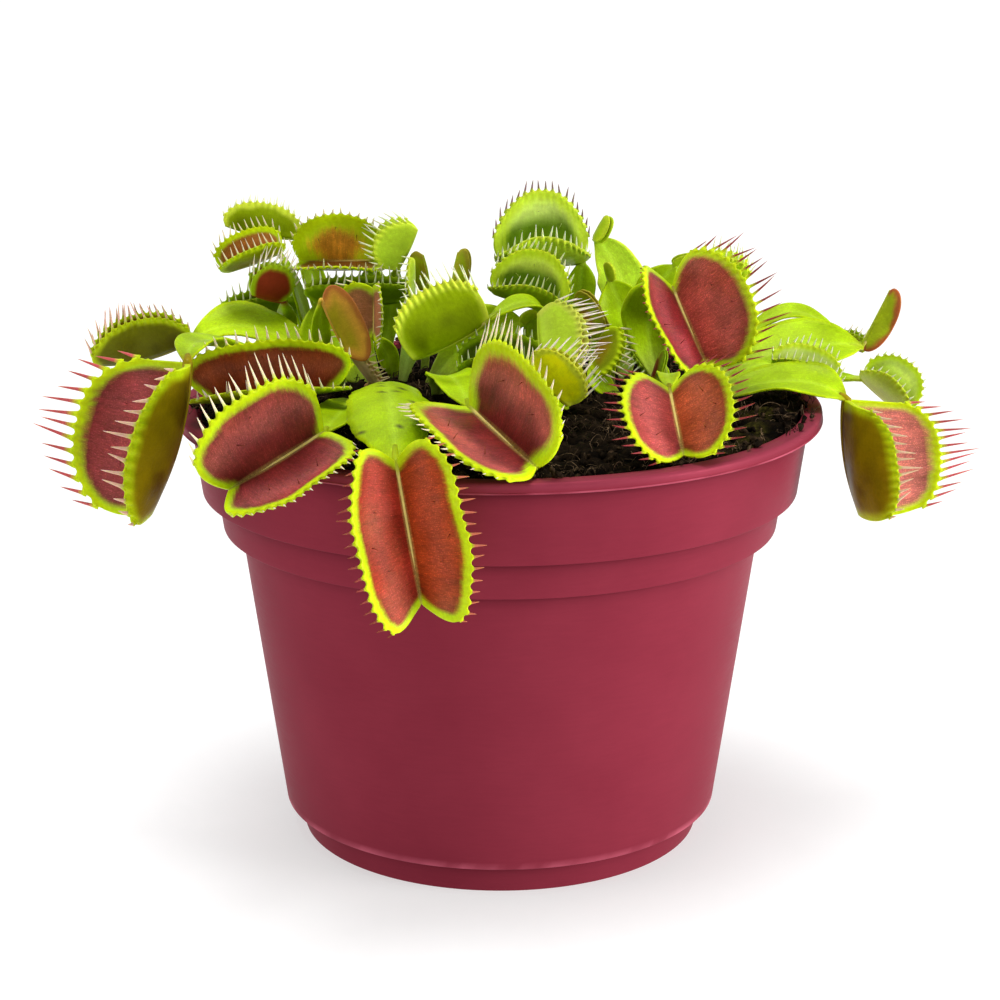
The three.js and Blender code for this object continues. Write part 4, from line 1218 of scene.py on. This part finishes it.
def add_stalk(skin, leaf, look, seed):
    """The flat, winged stalk with its keeled vein below and wavy edges."""
    source = np.random.default_rng(seed)
    share = np.linspace(0, 1, STALK_STEPS)
    place, direction = stalk_curve(leaf, share)
    place[0] -= direction[0] * ROOT_DEPTH
    faces = np.array(leaf.faces, float)
    face = unit(faces - direction * (direction @ faces)[:, None])
    across = np.cross(face, direction)
    bulge = np.clip(np.sin(math.pi * share ** 1.7), 0, 1) ** 0.8
    half = leaf.blade / 2 * np.maximum(0.14, 0.2 * (1 - share) + 0.95 * bulge)
    half = np.maximum(half, STALK_MIN_WIDTH / 2)[:, None]
    offset = np.linspace(-1, 1, STALK_CORNERS)
    wobble = 1 + 0.07 * np.sign(offset) * wave_noise(place, 16 * MM, seed)[:, None]
    wobble = wobble + 0.05 * np.abs(offset) * wave_noise(place, 6 * MM, seed + 4)[:, None]
    sideways = half * offset * wobble
    phase = share[:, None] * STALK_WAVES + np.where(offset > 0, 0.35, 0.0) + source.uniform(0, 1)
    ruffle = STALK_RUFFLE * half * np.abs(offset) ** 3 * np.sin(TURN * phase) * bulge[:, None]
    lift = leaf.fold * half * offset ** 2 + ruffle
    middle = place[:, None] + across[:, None] * sideways[..., None] + face[:, None] * lift[..., None]
    normal = unit(np.cross(np.gradient(middle, axis=1), np.gradient(middle, axis=0)))
    normal *= np.sign(np.sum(normal * face[:, None], axis=-1, keepdims=True))
    from_vein = np.abs(sideways)
    sheet = 0.42 * MM * (1 - 0.6 * offset ** 2)
    keel = 0.5 * MM * peak(from_vein, 0.8 * MM) * smooth_step(0, 2 * MM, half)
    groove = 0.16 * MM * peak(from_vein, 0.5 * MM) * smooth_step(1 * MM, 3 * MM, half)
    top = middle + normal * (sheet - groove)[..., None]
    bottom = middle - normal * (sheet + keel)[..., None]

    green = leaf.stalk if look.stalk is None else look.stalk
    tint = green * (1 + 0.15 * wave_noise(middle, 9 * MM, seed + 5))[..., None]
    tint = stalk_tint(tint, look, share, offset, from_vein)
    for _ in range(leaf.specks):
        step = int(source.integers(STALK_STEPS // 3, STALK_STEPS - 8))
        tint[step, int(source.integers(1, STALK_CORNERS - 1))] = SPECK
    tints = np.clip(np.concatenate([tint, tint[:, ::-1] * 0.94], axis=1), 0, 1)
    arc = np.linalg.norm(np.diff(place, axis=0), axis=1).sum()
    travelled = np.linspace(0, arc / MM, STALK_STEPS)[:, None]
    grain = np.stack([sideways / MM, travelled + 0 * sideways, np.full(sideways.shape, 0.4)], axis=-1)
    skin.loft(np.concatenate([top, bottom[:, ::-1]], axis=1), tints,
              np.concatenate([grain, grain[:, ::-1]], axis=1))


def add_midrib(skin, trap, look):
    """The vein that runs out of the stalk, swells at the hinge and tapers along the trap."""
    neck, _ = stalk_curve(trap.leaf, np.linspace(NECK_START, 1.0, NECK_STEPS))
    u = np.linspace(0, trap.length, RIB_STEPS)[1:]
    path = np.concatenate([neck, trap.point(1, u, np.zeros_like(u))])
    share = np.concatenate([np.linspace(RIB_PLACES[0], 0, NECK_STEPS), u / trap.length])
    thin = min(1.0, max(0.5, trap.leaf.width / RIB_FULL_WIDTH))
    radii = MM * thin * np.interp(share, RIB_PLACES, RIB_RADII)
    deep = radii * (1 + 0.9 * smooth_step(0.0, 0.15, share))
    facing = np.cos(round_angles(RIB_SIDES, 0.5))
    inside = mix(look.outside, RIB, smooth_step(-0.5, 0.2, facing))
    tints = mix(look.outside, inside, smooth_step(0.02, 0.1, share)[:, None])
    skin.tube(path, deep, trap.out, tints, RIB_SIDES, flat=radii)


def build_leaf(leaf, number, material):
    look = LOOKS[leaf.look]
    trap = Trap(leaf)
    skin = Skin()
    seed = 100 * number
    add_stalk(skin, leaf, look, seed + 10)
    for side in (-1, 1):
        lobe = Lobe(trap, look, side, seed + 20 + 10 * side)
        lobe.add_sheet(skin)
        lobe.add_teeth(skin)
        lobe.add_hairs(skin)
    add_midrib(skin, trap, look)
    stand_for(skin.to_object(leaf.name + "_living", material), leaf.name)


# ---- Camera, floor and light ----


def build_camera():
    data = bpy.data.cameras.new("camera")
    data.lens = CAMERA_LENS
    data.sensor_width = SENSOR_WIDTH
    data.clip_start, data.clip_end = CAMERA_RANGE
    camera = link_object("camera", data)
    camera.location = CAMERA_PLACE
    camera.rotation_euler = (math.pi / 2 - CAMERA_DOWN, 0, 0)
    bpy.context.scene.camera = camera


def build_floor():
    far = FLOOR_SIZE
    mesh = bpy.data.meshes.new("studio_floor")
    corners = [(-far, -far, 0), (far, -far, 0), (far, far, 0), (-far, far, 0)]
    mesh.from_pydata(corners, [], [(0, 1, 2, 3)])
    mesh.materials.append(floor_material())
    link_object("studio_floor", mesh)


def area_light(name, place, size, power):
    """A soft light that points at the plant."""
    light = bpy.data.lights.new(name, "AREA")
    light.shape = "RECTANGLE"
    light.size, light.size_y = size
    light.energy = power
    lamp = link_object(name, light)
    lamp.location = place
    lamp.rotation_euler = (Vector(LIGHT_AIM) - Vector(place)).to_track_quat("-Z", "Y").to_euler()


def build_light():
    scene = bpy.context.scene
    world = bpy.data.worlds.new("studio")
    world.use_nodes = True
    background = world.node_tree.nodes["Background"]
    background.inputs["Color"].default_value = (1, 1, 1, 1)
    background.inputs["Strength"].default_value = WORLD_STRENGTH
    scene.world = world
    for light in AREA_LIGHTS:
        area_light(*light)
    sun = bpy.data.lights.new("overhead", "SUN")
    sun.energy = SUN_STRENGTH
    sun.angle = SUN_SPREAD
    link_object("overhead", sun).rotation_euler = SUN_TILT
    scene.view_settings.view_transform = "Standard"
    scene.view_settings.look = "None"


# ---- The whole piece ----

build_camera()
build_pot(pot_material())
build_peat(peat_material())
flesh = leaf_material()
for number, leaf in enumerate(LEAVES):
    build_leaf(leaf, number, flesh)
build_floor()
build_light()
